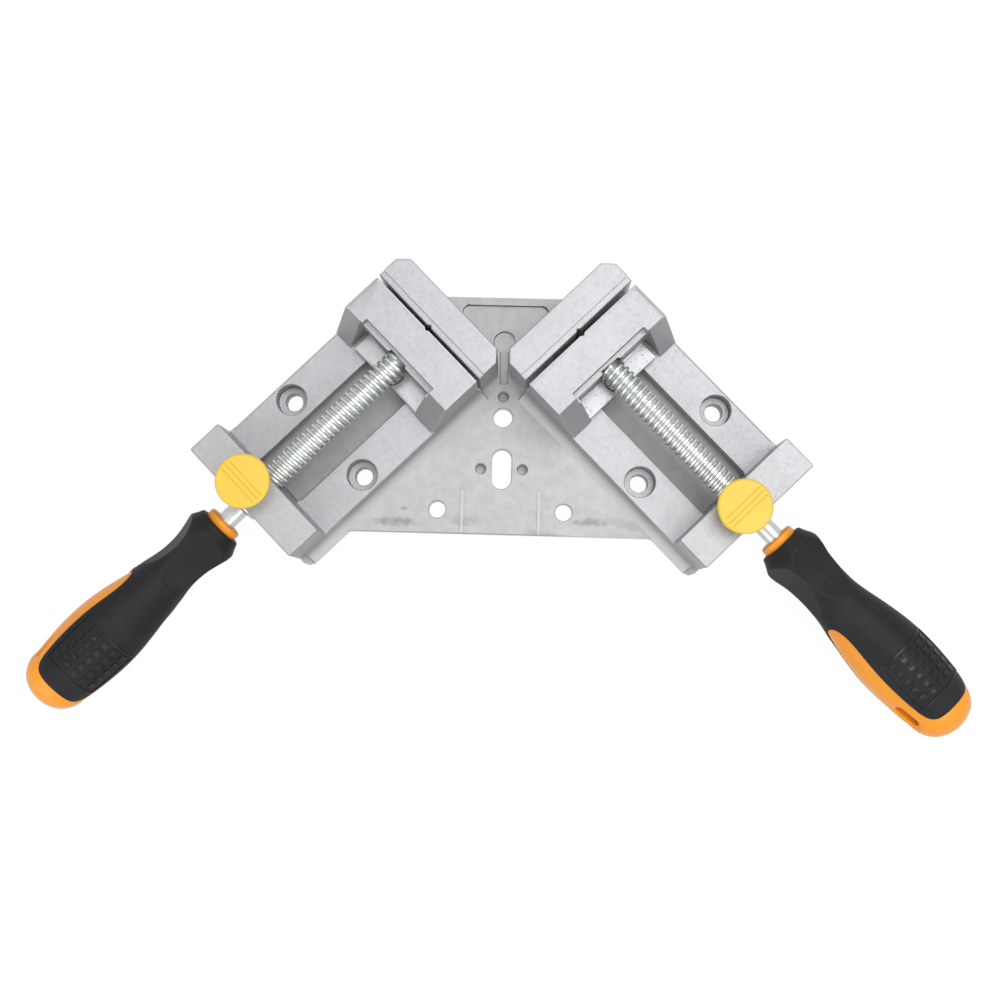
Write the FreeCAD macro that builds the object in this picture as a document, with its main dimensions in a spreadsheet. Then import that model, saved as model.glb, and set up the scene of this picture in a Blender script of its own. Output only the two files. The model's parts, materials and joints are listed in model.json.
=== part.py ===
"""Corner clamp for holding two boards at a right angle, as a parametric assembly.

The frame has its origin on the bench, under the plate's middle hole, with +Z up
and +Y towards the corner that the fixed jaws make. Each arm has a frame of its
own: x runs along the screw from the corner to the handle, y across, z up.
"""
import FreeCAD, Part
import math
import os
from types import SimpleNamespace

import Sketcher

ROOT_HALF = math.sqrt(0.5)
SPRING_TURNS = 4
SCOOP_COUNT = 4
HANDLE_ROLL = {"right": 17.5, "left": 23.5}
PLATE_HAND = {"right": -1, "left": 1}
ORIGIN_POINT = -1
HORIZONTAL_AXIS = -1
START, END, CENTRE = range(1, 4)

os.makedirs("parts", exist_ok=True)
doc = FreeCAD.newDocument("corner_clamp")


class Size:
    """A length that carries its value and the sheet expression behind it."""

    def __init__(self, value, text):
        self.value = float(value)
        self.text = text

    @staticmethod
    def of(other):
        """Return a plain number as a Size, and a Size as it is."""
        return other if isinstance(other, Size) else Size(other, repr(float(other)))

    def joined(self, other, sign, value):
        """Return the Size of one binary operation."""
        return Size(value, "(%s %s %s)" % (self.text, sign, other.text))

    def __add__(self, other):
        other = Size.of(other)
        return self.joined(other, "+", self.value + other.value)

    def __sub__(self, other):
        other = Size.of(other)
        return self.joined(other, "-", self.value - other.value)

    def __mul__(self, other):
        other = Size.of(other)
        return self.joined(other, "*", self.value * other.value)

    def __truediv__(self, other):
        other = Size.of(other)
        return self.joined(other, "/", self.value / other.value)

    def __radd__(self, other):
        return Size.of(other) + self

    def __rsub__(self, other):
        return Size.of(other) - self

    def __rmul__(self, other):
        return Size.of(other) * self

    def __neg__(self):
        return self * -1


DRIVING_SIZES = [
    ("plate_thick", 5.0, "plate and channel floor thickness"),
    ("plate_top", 48.5, "plate's far edge from the origin"),
    ("plate_bottom", 46.6, "plate's near edge from the origin"),
    ("plate_top_half", 24.0, "half length of the plate's far edge"),
    ("plate_waist_half", 70.0, "half width of the plate, inside the rails"),
    ("bench_hole_dia", 7.6, "middle hole, for a bench bolt"),
    ("pilot_dia", 4.0, "small blind and side holes"),
    ("pilot_away", 8.45, "small hole above the middle hole"),
    ("slot_width", 7.8, "plate slot width"),
    ("slot_length", 15.8, "plate slot length, end to end"),
    ("slot_away", 20.6, "plate slot centre below the middle hole"),
    ("side_hole_away", 8.25, "small holes each side of the slot"),
    ("screw_hole_dia", 6.6, "plate screw holes"),
    ("screw_hole_span", 50.0, "between the two plate screw holes"),
    ("screw_hole_away", 37.2, "plate screw holes below the middle hole"),
    ("relief_dia", 8.7, "round end of the relief between the fixed jaws"),
    ("relief_away", 30.6, "relief's round end above the middle hole"),
    ("relief_neck", 3.4, "relief's neck width"),
    ("relief_reach", 13.5, "relief's neck end above the middle hole"),
    ("recess_deep", 1.4, "depth of the plate's recesses"),
    ("pocket_half", 17.2, "half length of the plate's far recess"),
    ("pocket_wide", 7.0, "width of the plate's far recess"),
    ("pocket_margin", 3.0, "plate's far edge to the recess"),
    ("pocket_round", 3.0, "radius of the plate's far recess"),
    ("plate_rib_half", 15.2, "plate ribs, each side of the middle"),
    ("plate_rib_wide", 1.2, "plate rib width"),
    ("plate_rib_high", 0.7, "plate rib height"),
    ("plate_rib_start", 29.3, "plate ribs' far end below the middle hole"),
    ("arm_away", 41.0, "screw axis to the origin, square across the arm"),
    ("rail_half", 27.8, "half width of the arm's machined faces"),
    ("rail_top", 13.2, "top of the slide rails"),
    ("rail_flare", 1.2, "outer draft of the rails"),
    ("rail_edge", 0.8, "bevel on the rails' outer edges"),
    ("channel_half", 11.3, "half width of the channel between the rails"),
    ("groove_half", 13.4, "half width of the undercut in the channel"),
    ("groove_high", 4.2, "height of the undercut"),
    ("flange_wide", 4.0, "foot flange on the plate side of each arm"),
    ("flange_round", 3.0, "rounding of the flange's free corner"),
    ("foot_past", 0.3, "foot standing out past the nut block"),
    ("flange_rise", 3.4, "height of the sloped web above the flange"),
    ("core_margin", 3.2, "wall round the cored pockets"),
    ("core_roof", 3.6, "roof over the cored pockets in the rails"),
    ("rail_hole_along", 56.1, "rail screw holes along the arm"),
    ("rail_hole_across", 20.45, "rail screw holes from the screw axis"),
    ("rail_hole_dia", 7.0, "rail screw holes"),
    ("head_dia", 12.0, "counterbores over the rail screw holes"),
    ("head_deep", 6.6, "depth of the counterbores"),
    ("jaw_set_back", 1.0, "fixed jaw's clamping face behind the arm's zero"),
    ("jaw_top", 34.5, "top of all four jaws"),
    ("fixed_thick", 12.8, "fixed jaw thickness"),
    ("fixed_bevel", 4.0, "bevels on the fixed jaw's back corners"),
    ("face_strip", 2.5, "machined strip along the fixed jaw's face"),
    ("face_step", 0.9, "step down to the machined strips"),
    ("jaw_core_wall", 3.2, "wall round the fixed jaw's cored pocket"),
    ("vee_half", 1.1, "half width of the upright vee in each face"),
    ("vee_deep", 0.8, "depth of the upright vee in each face"),
    ("block_near", 82.0, "nut block's face towards the jaws"),
    ("block_thick", 14.4, "nut block thickness"),
    ("block_top", 34.6, "top of the nut block"),
    ("block_round", 0.9, "nut block's upright corner radius"),
    ("unmilled_long", 1.8, "as-cast strip between rails and nut block"),
    ("unmilled_high", 0.6, "height of the as-cast strip over the rails"),
    ("left_gap", 1.2, "left jaws' gap in the photograph"),
    ("right_gap", 2.0, "right jaws' gap in the photograph"),
    ("moving_thick", 16.2, "movable jaw's thickness at its top"),
    ("moving_wall", 13.9, "movable jaw's wall at its top, between the flanks"),
    ("moving_long", 25.0, "movable jaw's length on the rails"),
    ("moving_strip", 1.5, "machined strip along the movable jaw's face"),
    ("moving_bevel", 1.6, "bevel on the movable jaw's corner by the plate"),
    ("moving_corner", 0.5, "bevel on the movable jaw's corner away from the plate"),
    ("top_slope_wide", 2.0, "width of the slope along the movable jaw's top, away from the plate"),
    ("top_slope_drop", 0.9, "drop of the slope along the movable jaw's top"),
    ("ledge_drop", 4.2, "ledge on the movable jaw's back, below its top"),
    ("ledge_past", 0.9, "ledge past the movable jaw's foot, each side"),
    ("flank_inner", 19.5, "inner side of the movable jaw's flank away from the plate"),
    ("foot_half", 17.6, "half width of the movable jaw's foot"),
    ("foot_long", 24.2, "back of the movable jaw's foot"),
    ("foot_top", 17.0, "top of the movable jaw's foot"),
    ("slide_play", 0.05, "play under the movable jaw"),
    ("tongue_play", 0.2, "play each side of the jaw's tongue"),
    ("tongue_start", 3.0, "front of the jaw's tongue"),
    ("keeper_half", 13.1, "keeper's radius, under the lips"),
    ("keeper_flats", 20.6, "keeper's width across its flats"),
    ("keeper_play", 0.2, "play above and below the keeper"),
    ("keeper_along", 13.4, "keeper's centre behind the jaw's face"),
    ("keeper_screw_along", 20.2, "keeper screw behind the jaw's face"),
    ("keeper_screw_dia", 5.0, "keeper screw"),
    ("keeper_head_dia", 8.5, "keeper screw's head"),
    ("keeper_head_high", 2.6, "height of the keeper screw's head"),
    ("keeper_screw_short", 0.4, "keeper screw's end above the keeper's underside"),
    ("cross_long", 3.2, "length of the screws' cross recesses"),
    ("cross_wide", 0.8, "width of the screws' cross recesses"),
    ("cross_deep", 0.8, "depth of the screws' cross recesses"),
    ("screw_axis", 26.0, "screw axis above the bench"),
    ("thread_dia", 10.4, "lead screw over its thread"),
    ("thread_pitch", 2.5, "lead screw's pitch"),
    ("thread_start", 15.2, "lead screw's thread behind the jaw's face"),
    ("thread_end", 94.8, "end of the thread behind the jaw's face"),
    ("nose_dia", 7.8, "lead screw's nose"),
    ("nose_tip", 8.0, "tip of the nose behind the jaw's face"),
    ("nose_play", 0.06, "play round the nose"),
    ("nose_bevel", 0.6, "bevel of the nose's tip"),
    ("neck_dia", 5.4, "groove in the nose"),
    ("neck_start", 9.8, "start of the groove behind the jaw's face"),
    ("neck_long", 2.6, "length of the groove"),
    ("shank_dia", 7.4, "plain shank between thread and handle"),
    ("pin_dia", 2.2, "nose pin"),
    ("pin_tip_dia", 1.3, "tip of the nose pin"),
    ("pin_tip_high", 0.2, "height of the nose pin's tip"),
    ("pin_low_play", 0.1, "play between the nose pin and the keeper"),
    ("pin_high_play", 0.2, "play between the nose pin's tip and the groove's floor"),
    ("fit_play", 0.05, "play between fitted pieces of one body"),
    ("bore_play", 0.3, "play round the thread in block and nut"),
    ("bush_dia", 14.0, "guide bush"),
    ("bush_proud", 1.5, "guide bush standing out of the nut block"),
    ("bush_lead", 0.7, "rounding of the guide bush"),
    ("nut_thick", 8.4, "half nut along the screw"),
    ("nut_play", 0.2, "play round the half nut"),
    ("nut_left", 7.0, "half nut's reach past the screw axis"),
    ("nut_right", 11.6, "half nut's reach on the stem side"),
    ("nut_low", 14.0, "underside of the half nut"),
    ("nut_leg_top", 30.2, "top of the half nut's leg"),
    ("leg_inner", 5.8, "half nut's leg from the screw axis"),
    ("button_travel", 3.5, "button and half nut travel"),
    ("stem_across", 8.6, "stem from the screw axis"),
    ("stem_dia", 5.0, "stem of the half nut"),
    ("stem_play", 0.3, "play round the stem in the block"),
    ("button_across", 3.1, "button's middle from the screw axis"),
    ("button_dia", 20.4, "release button"),
    ("button_high", 6.4, "height of the release button with its hub"),
    ("button_disc_thick", 3.0, "thickness of the button's disc"),
    ("button_hub_dia", 8.6, "button's hub round the stem"),
    ("button_clear", 1.1, "pressed button's underside over the nut block"),
    ("button_edge", 0.8, "bevels of the release button's rim"),
    ("button_bore_deep", 4.4, "depth of the stem's hole in the button"),
    ("groove_pitch", 1.95, "spacing of the button's three grooves"),
    ("groove_wide", 0.8, "width of the button's grooves"),
    ("groove_long", 17.6, "length of the button's grooves"),
    ("groove_deep", 0.5, "depth of the button's grooves"),
    ("groove_off", 0.4, "button's grooves off its middle, towards the handle"),
    ("cover_long", 34.0, "nut cover across the block"),
    ("cover_wide", 11.6, "nut cover along the arm"),
    ("cover_thick", 2.0, "nut cover thickness"),
    ("cover_inset", 0.4, "nut cover above the bench"),
    ("cover_screw_span", 28.4, "between the cover's two screws"),
    ("cover_screw_dia", 3.0, "cover screws"),
    ("cover_head_dia", 5.4, "cover screws' heads"),
    ("cover_screw_long", 9.0, "cover screws' length"),
    ("spring_dia", 7.0, "half nut spring, outside"),
    ("spring_wire", 0.9, "spring wire"),
    ("spring_seat", 2.0, "spring's pocket in the half nut"),
    ("shank_hold", 32.0, "length of the shank inside the handle"),
    ("collar_start", 105.4, "handle's front behind the jaw's face"),
    ("collar_dia", 14.2, "handle's front collar"),
    ("collar_long", 3.0, "length of the front collar"),
    ("grip_front_dia", 18.1, "grip at its front edge"),
    ("rise_at", 6.1, "rise to the shoulder, control point"),
    ("rise_dia", 20.1, "rise to the shoulder, control diameter"),
    ("shoulder_at", 8.7, "shoulder, control point"),
    ("shoulder_dia", 25.9, "shoulder, control diameter"),
    ("neck_at", 17.3, "neck behind the shoulder, control point"),
    ("neck_round_dia", 22.0, "neck behind the shoulder, control diameter"),
    ("waist_at", 30.7, "waist, control point"),
    ("waist_dia", 18.1, "waist, control diameter"),
    ("swell_at", 43.4, "swell, control point"),
    ("swell_dia", 25.1, "swell, control diameter"),
    ("belly_at", 59.2, "belly, control point"),
    ("belly_dia", 30.7, "belly, control diameter"),
    ("heel_back", 20.4, "heel in front of the handle's end, control point"),
    ("heel_dia", 29.3, "heel, control diameter"),
    ("end_back", 0.9, "end rounding in front of the handle's end, control point"),
    ("end_dia", 24.3, "end rounding, control diameter"),
    ("tip_dia", 2.6, "handle's tip, control diameter"),
    ("handle_long", 96.4, "handle length"),
    ("core_front_dia", 11.6, "hard core behind the collar"),
    ("core_waist_dia", 13.0, "hard core at the waist"),
    ("core_belly_dia", 23.6, "hard core at the belly"),
    ("core_heel_dia", 18.0, "hard core where it joins the end cap"),
    ("cap_long", 9.2, "end cap's length"),
    ("window_start", 38.0, "side windows' start behind the handle's front"),
    ("window_half", 7.2, "half width of the side windows"),
    ("window_taper", 16.0, "length of the side windows' narrowing start"),
    ("window_corner", 4.0, "slope between side windows and end cap"),
    ("scoop_radius", 29.0, "radius of the scoops round the neck"),
    ("scoop_away", 7.5, "scoops' floor from the handle's axis"),
    ("scoop_at", 20.7, "middle of the scoops behind the handle's front"),
    ("hang_hole_back", 16.4, "hanging hole in front of the handle's end"),
    ("hang_hole_long", 10.6, "hanging hole length"),
    ("hang_hole_wide", 4.5, "hanging hole width"),
]


def make_sheet():
    """Write the driving sizes to a sheet and return them as Size values."""
    sheet = doc.addObject("Spreadsheet::Sheet", "dims")
    sizes = SimpleNamespace()
    for row, (alias, value, note) in enumerate(DRIVING_SIZES, start=1):
        sheet.set("A%d" % row, alias)
        sheet.set("B%d" % row, str(value))
        sheet.setAlias("B%d" % row, alias)
        sheet.set("C%d" % row, note)
        setattr(sizes, alias, Size(value, "dims." + alias))
    doc.recompute()
    return sizes


d = make_sheet()


def bind(item, prop, size):
    """Drive one property of a document object by a size."""
    item.setExpression(prop, Size.of(size).text)


def place(item, spot, turn=None):
    """Put an item at a spot of sizes, turned by a fixed rotation if given."""
    spot = [Size.of(value) for value in spot]
    base = FreeCAD.Vector(*[value.value for value in spot])
    item.Placement = FreeCAD.Placement(base, turn or FreeCAD.Rotation())
    for axis, value in zip("xyz", spot):
        bind(item, "Placement.Base." + axis, value)
    return item


ALONG_X = FreeCAD.Rotation(FreeCAD.Vector(0, 1, 0), 90)
ALONG_Y = FreeCAD.Rotation(FreeCAD.Vector(1, 0, 0), -90)


def box(name, low, high):
    """Make a box between two corners of sizes."""
    item = doc.addObject("Part::Box", name)
    for prop, first, last in zip(("Length", "Width", "Height"), low, high):
        bind(item, prop, Size.of(last) - Size.of(first))
    return place(item, low)


def cylinder(name, diameter, height, spot, turn=None):
    """Make a cylinder from a spot along its turned axis."""
    item = doc.addObject("Part::Cylinder", name)
    bind(item, "Radius", Size.of(diameter) / 2)
    bind(item, "Height", height)
    return place(item, spot, turn)


def cone(name, start_dia, end_dia, height, spot, turn=None):
    """Make a cone from a spot along its turned axis."""
    item = doc.addObject("Part::Cone", name)
    bind(item, "Radius1", Size.of(start_dia) / 2)
    bind(item, "Radius2", Size.of(end_dia) / 2)
    bind(item, "Height", height)
    return place(item, spot, turn)


def fuse(name, items):
    """Join items into one solid."""
    item = doc.addObject("Part::MultiFuse", name)
    item.Shapes = items
    item.Refine = True
    return item


def cut(name, base, tools):
    """Take tools away from a base."""
    item = doc.addObject("Part::Cut", name)
    item.Base = base
    item.Tool = tools[0] if len(tools) == 1 else fuse(name + "_tools", tools)
    item.Refine = True
    return item


def common(name, first, second):
    """Keep what two items share."""
    item = doc.addObject("Part::Common", name)
    item.Base = first
    item.Tool = second
    return item


def plane_of(body, role):
    """Return one of a body's origin planes."""
    return next(part for part in body.Origin.OriginFeatures if part.Role == role)


def outline_sketch(body, name, role, points):
    """Draw a closed outline whose corners are bound to sizes."""
    sketch = body.newObject("Sketcher::SketchObject", name)
    sketch.AttachmentSupport = [(plane_of(body, role), "")]
    sketch.MapMode = "FlatFace"
    points = [(Size.of(x), Size.of(y)) for x, y in points]
    corners = [FreeCAD.Vector(x.value, y.value, 0) for x, y in points]
    count = len(points)
    for index in range(count):
        line = Part.LineSegment(corners[index], corners[(index + 1) % count])
        sketch.addGeometry(line, False)
    for index in range(count):
        link = Sketcher.Constraint("Coincident", index, END, (index + 1) % count, START)
        sketch.addConstraint(link)
    for index, (x, y) in enumerate(points):
        for kind, size in (("DistanceX", x), ("DistanceY", y)):
            rule = Sketcher.Constraint(kind, ORIGIN_POINT, START, index, START, size.value)
            number = sketch.addConstraint(rule)
            label = "%s%d" % (kind, index)
            sketch.renameConstraint(number, label)
            sketch.setExpression("Constraints." + label, size.text)
    return sketch


def padded(name, role, points, length, midplane=False):
    """Make a body by padding an outline along its plane's normal."""
    body = doc.addObject("PartDesign::Body", name)
    sketch = outline_sketch(body, name + "_outline", role, points)
    pad = body.newObject("PartDesign::Pad", name + "_pad")
    pad.Profile = sketch
    pad.SideType = "Symmetric" if midplane else "One side"
    bind(pad, "Length", length)
    sketch.Visibility = False
    return body


def revolved(name, points):
    """Make a body by turning an outline of (along, radius) about the X axis."""
    body = doc.addObject("PartDesign::Body", name)
    sketch = outline_sketch(body, name + "_outline", "XZ_Plane", points)
    turned = body.newObject("PartDesign::Revolution", name + "_turned")
    turned.Profile = sketch
    turned.ReferenceAxis = (sketch, ["H_Axis"])
    turned.Angle = 360
    sketch.Visibility = False
    return body


def rounded_upright(body, name, radius, chosen):
    """Round the upright edges of a body that a test on (x, y) chooses."""
    doc.recompute()
    tip = body.Tip
    edges = []
    for number, edge in enumerate(tip.Shape.Edges, start=1):
        ends = [vertex.Point for vertex in edge.Vertexes]
        upright = len(ends) == 2 and abs(ends[0].x - ends[1].x) < 1e-6
        upright = upright and abs(ends[0].y - ends[1].y) < 1e-6
        if upright and chosen(ends[0].x, ends[0].y):
            edges.append("Edge%d" % number)
    fillet = body.newObject("PartDesign::Fillet", name)
    fillet.Base = (tip, edges)
    bind(fillet, "Radius", radius)
    return body


def arm_turn(side):
    """Return the rotation that lays an arm's x axis on the plate."""
    return FreeCAD.Rotation(FreeCAD.Vector(0, 0, 1), -45 if side == "right" else -135)


def arm_spot(side, along=0.0, across=0.0):
    """Return a place over an arm's axis, some way along and across the arm."""
    way = 1 if side == "right" else -1
    along = Size.of(along)
    shifted = d.arm_away + Size.of(across) * way
    return [(shifted + along) * ROOT_HALF * way, (shifted - along) * ROOT_HALF]


def on_arm(item, side, along=0.0, across=0.0, up=0.0):
    """Lay an item built in the arm's frame on its arm."""
    return place(item, arm_spot(side, along, across) + [up], arm_turn(side))


def on_axis(item, side, along=0.0, roll=0.0):
    """Lay an item built about the X axis on its arm's screw axis, rolled round it."""
    rolled = arm_turn(side).multiply(FreeCAD.Rotation(FreeCAD.Vector(1, 0, 0), -roll))
    return place(item, arm_spot(side, along) + [d.screw_axis], rolled)


def jaw_shift(side):
    """Return where a side's movable jaw has its clamping face, along the arm."""
    gap = d.right_gap if side == "right" else d.left_gap
    return gap - d.jaw_set_back


def node(item, label):
    """Mark an item as one finished piece of the clamp."""
    item.Label = label
    PIECES.append(item)
    return item


PIECES = []
block_far = d.block_near + d.block_thick
block_mid = d.block_near + d.block_thick / 2
nut_top = d.screw_axis - d.nut_play
cover_middle = (d.nut_left - d.nut_right) / 2
button_low = d.block_top + d.button_travel + d.button_clear


def plate_shape():
    """Make the plate between the arms, with its holes, recesses and ribs."""
    corner = d.plate_waist_half
    outline = [
        (-d.plate_top_half, d.plate_top),
        (d.plate_top_half, d.plate_top),
        (corner, -d.plate_bottom + d.flange_wide),
        (corner, -d.plate_bottom),
        (-corner, -d.plate_bottom),
        (-corner, -d.plate_bottom + d.flange_wide),
    ]
    plate = padded("plate", "XY_Plane", outline, d.plate_thick)
    ribs = []
    for way in (-1, 1):
        middle = d.plate_rib_half * way
        low = [middle - d.plate_rib_wide / 2, -d.plate_bottom, d.plate_thick - 1]
        high = [middle + d.plate_rib_wide / 2, -d.plate_rib_start, d.plate_thick + d.plate_rib_high]
        ribs.append(box("plate_rib", low, high))
    return fuse("ribbed_plate", [plate] + ribs)


def through(name, diameter, x, y):
    """Make a cutter for a round hole through the plate."""
    return cylinder(name, diameter, d.plate_thick + 2, [x, y, -1])


def plate_cutters():
    """Make the cutters for the plate's holes, slot and recesses."""
    slot_half = (d.slot_length - d.slot_width) / 2
    floor = d.plate_thick - d.recess_deep
    above = d.plate_thick + 1
    cutters = [
        through("bench_hole", d.bench_hole_dia, 0, 0),
        through("far_slot_end", d.slot_width, 0, slot_half - d.slot_away),
        through("near_slot_end", d.slot_width, 0, -slot_half - d.slot_away),
        box("slot_middle", [-d.slot_width / 2, -slot_half - d.slot_away, -1],
            [d.slot_width / 2, slot_half - d.slot_away, above]),
        cylinder("pilot_hole", d.pilot_dia, d.plate_thick, [0, d.pilot_away, 1]),
        cylinder("relief_end", d.relief_dia, d.recess_deep + 1, [0, d.relief_away, floor]),
        box("relief_neck", [-d.relief_neck / 2, d.relief_reach, floor],
            [d.relief_neck / 2, d.relief_away, above]),
    ]
    for way in (-1, 1):
        cutters.append(cylinder("side_hole", d.pilot_dia, d.plate_thick,
                                [d.side_hole_away * way, -d.slot_away, 1]))
        cutters.append(through("plate_screw_hole", d.screw_hole_dia,
                               d.screw_hole_span / 2 * way, -d.screw_hole_away))
    far = d.plate_top - d.pocket_margin
    near = far - d.pocket_wide
    pocket = padded("far_pocket", "XY_Plane", [
        (-d.pocket_half, near), (d.pocket_half, near), (d.pocket_half, far), (-d.pocket_half, far),
    ], d.recess_deep + 1)
    rounded_upright(pocket, "far_pocket_round", d.pocket_round, lambda x, y: y > near.value + 1)
    cutters.append(place(pocket, [0, 0, floor]))
    return cutters


def rail_section(hand):
    """Return the outline of an arm's rails and channel, seen along the arm.

    The flange lies on the side that hand points to, the outer draft on the other.
    """
    groove_top = d.plate_thick + d.groove_high
    flange_edge = d.rail_half + d.flange_wide
    lip = [
        (d.channel_half, d.rail_top),
        (d.channel_half, groove_top),
        (d.groove_half, groove_top),
        (d.groove_half, d.plate_thick),
    ]
    points = [
        (hand * flange_edge, 0),
        (hand * flange_edge, d.plate_thick),
        (hand * (d.rail_half + d.rail_flare), d.plate_thick + d.flange_rise),
        (hand * d.rail_half, d.rail_top),
    ]
    points += [(hand * y, z) for y, z in lip]
    points += [(-hand * y, z) for y, z in reversed(lip)]
    points += [
        (-hand * (d.rail_half - d.rail_edge), d.rail_top),
        (-hand * d.rail_half, d.rail_top - d.rail_edge),
        (-hand * (d.rail_half + d.rail_flare), 0),
    ]
    return points


def rails_shape(side, hand):
    """Make both rails, their channel, the foot flange and the as-cast strips."""
    far = block_far + d.foot_past
    turn = d.flange_round
    rails = padded("rails", "YZ_Plane", rail_section(hand), far - turn + d.jaw_set_back)
    place(rails, [-d.jaw_set_back, 0, 0])
    near = -d.jaw_set_back - d.fixed_thick
    edge = d.rail_half + d.flange_wide
    outer = d.rail_half + d.rail_flare
    foot = padded("foot", "XY_Plane", [
        (near, hand * d.rail_half), (far - turn, hand * edge),
        (far - turn * 0.3, hand * (edge - turn * 0.3)), (far, hand * (edge - turn)),
        (far, -hand * outer), (near, -hand * outer),
    ], d.plate_thick)
    strips = []
    for way in (-1, 1):
        ends = sorted([d.channel_half * way, d.rail_half * way], key=lambda size: size.value)
        strips.append(box("unmilled_strip", [d.block_near - d.unmilled_long, ends[0], d.rail_top - 1],
                          [d.block_near + 1, ends[1], d.rail_top + d.unmilled_high]))
    return fuse("rails_" + side, [rails, foot] + strips)


def fixed_jaw_shape(side):
    """Make a fixed jaw with its bevelled back corners and machined face strip."""
    face = -d.jaw_set_back
    back = face - d.fixed_thick
    half = d.rail_half
    jaw = padded("fixed_jaw", "XY_Plane", [
        (face, -half), (face, half), (back + d.fixed_bevel, half), (back, half - d.fixed_bevel),
        (back, -half + d.fixed_bevel), (back + d.fixed_bevel, -half),
    ], d.jaw_top)
    strip = box("face_strip", [face - d.face_strip, -half - 1, d.jaw_top - d.face_step],
                [face + 1, half + 1, d.jaw_top + 1])
    vee = padded("face_vee", "XY_Plane", [
        (face + 1, -d.vee_half * 2), (face + 1, d.vee_half * 2), (face - d.vee_deep, 0),
    ], d.jaw_top + 1)
    place(vee, [0, 0, d.rail_top])
    wall = d.jaw_core_wall
    core = box("jaw_core", [back + wall, -half + wall + 1, -1],
               [face - wall, half - wall - 1, d.jaw_top - wall * 1.5])
    return cut("fixed_jaw_" + side, jaw, [strip, vee, core])


def nut_block_shape():
    """Make the upright block that carries the half nut, with rounded corners."""
    half = d.rail_half
    block = padded("nut_block", "XY_Plane", [
        (d.block_near, -half), (d.block_near, half), (block_far, half), (block_far, -half),
    ], d.block_top)
    return rounded_upright(block, "nut_block_round", d.block_round, lambda x, y: True)


def arm_cutters():
    """Make the cutters for an arm: screw holes, cores, nut cavity and bores."""
    cutters = []
    for way in (-1, 1):
        across = d.rail_hole_across * way
        cutters.append(cylinder("rail_hole", d.rail_hole_dia, d.rail_top + 2,
                                [d.rail_hole_along, across, -1]))
        cutters.append(cylinder("rail_head", d.head_dia, d.head_deep + 1,
                                [d.rail_hole_along, across, d.rail_top - d.head_deep]))
        inner = (d.groove_half + d.core_margin) * way
        outer = (d.rail_half - d.core_margin) * way
        low_y, high_y = sorted([inner, outer], key=lambda size: size.value)
        boss = d.head_dia / 2 + d.core_margin
        for first, last in ((d.core_margin * 2, d.rail_hole_along - boss),
                            (d.rail_hole_along + boss, d.block_near - d.core_margin)):
            cutters.append(box("rail_core", [first, low_y, -1],
                               [last, high_y, d.rail_top - d.core_roof]))
    bore = d.thread_dia + d.bore_play * 2
    cutters.append(cylinder("screw_bore", bore, d.block_thick + 2,
                            [d.block_near - 1, 0, d.screw_axis], ALONG_X))
    cavity_half = d.nut_thick / 2 + d.nut_play
    bush_start = block_mid + cavity_half + d.nut_play
    cutters.append(cylinder("bush_seat", d.bush_dia + d.fit_play * 2, d.block_thick,
                            [bush_start, 0, d.screw_axis], ALONG_X))
    cutters.append(box("nut_cavity", [block_mid - cavity_half, -d.nut_right - d.nut_play, -1],
                       [block_mid + cavity_half, d.nut_left + d.nut_play, d.screw_axis]))
    cutters.append(box("leg_cavity", [block_mid - cavity_half, -d.nut_right - d.nut_play, 0],
                       [block_mid + cavity_half, -d.leg_inner + d.nut_play,
                        d.nut_leg_top + d.nut_play * 2]))
    cutters.append(cylinder("stem_bore", d.stem_dia + d.stem_play * 2, d.block_top,
                            [block_mid, -d.stem_across, d.nut_low]))
    cutters.append(box("cover_seat", [block_mid - d.cover_wide / 2 - d.nut_play,
                                      cover_middle - d.cover_long / 2 - d.nut_play, -1],
                       [block_mid + d.cover_wide / 2 + d.nut_play,
                        cover_middle + d.cover_long / 2 + d.nut_play,
                        d.cover_inset + d.cover_thick]))
    for way in (-1, 1):
        cutters.append(cylinder("cover_pilot", d.cover_screw_dia + d.fit_play * 2,
                                d.cover_screw_long + 2,
                                [block_mid, cover_middle + d.cover_screw_span / 2 * way, 0]))
    return cutters


def base_casting():
    """Join plate, rails, fixed jaws and nut blocks into the base casting."""
    solids = [plate_shape()]
    cutters = plate_cutters()
    for side, hand in PLATE_HAND.items():
        pieces = [rails_shape(side, hand), fixed_jaw_shape(side), nut_block_shape()]
        solids.append(on_arm(fuse("arm_" + side, pieces), side))
        arm_cuts = fuse("arm_cuts_" + side, arm_cutters())
        cutters.append(on_arm(arm_cuts, side))
    whole = fuse("base_whole", solids)
    node(cut("base", whole, cutters), "base_casting")


def jaw_bottom():
    """Return the height of the movable jaw's underside."""
    return d.rail_top + d.slide_play


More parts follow.
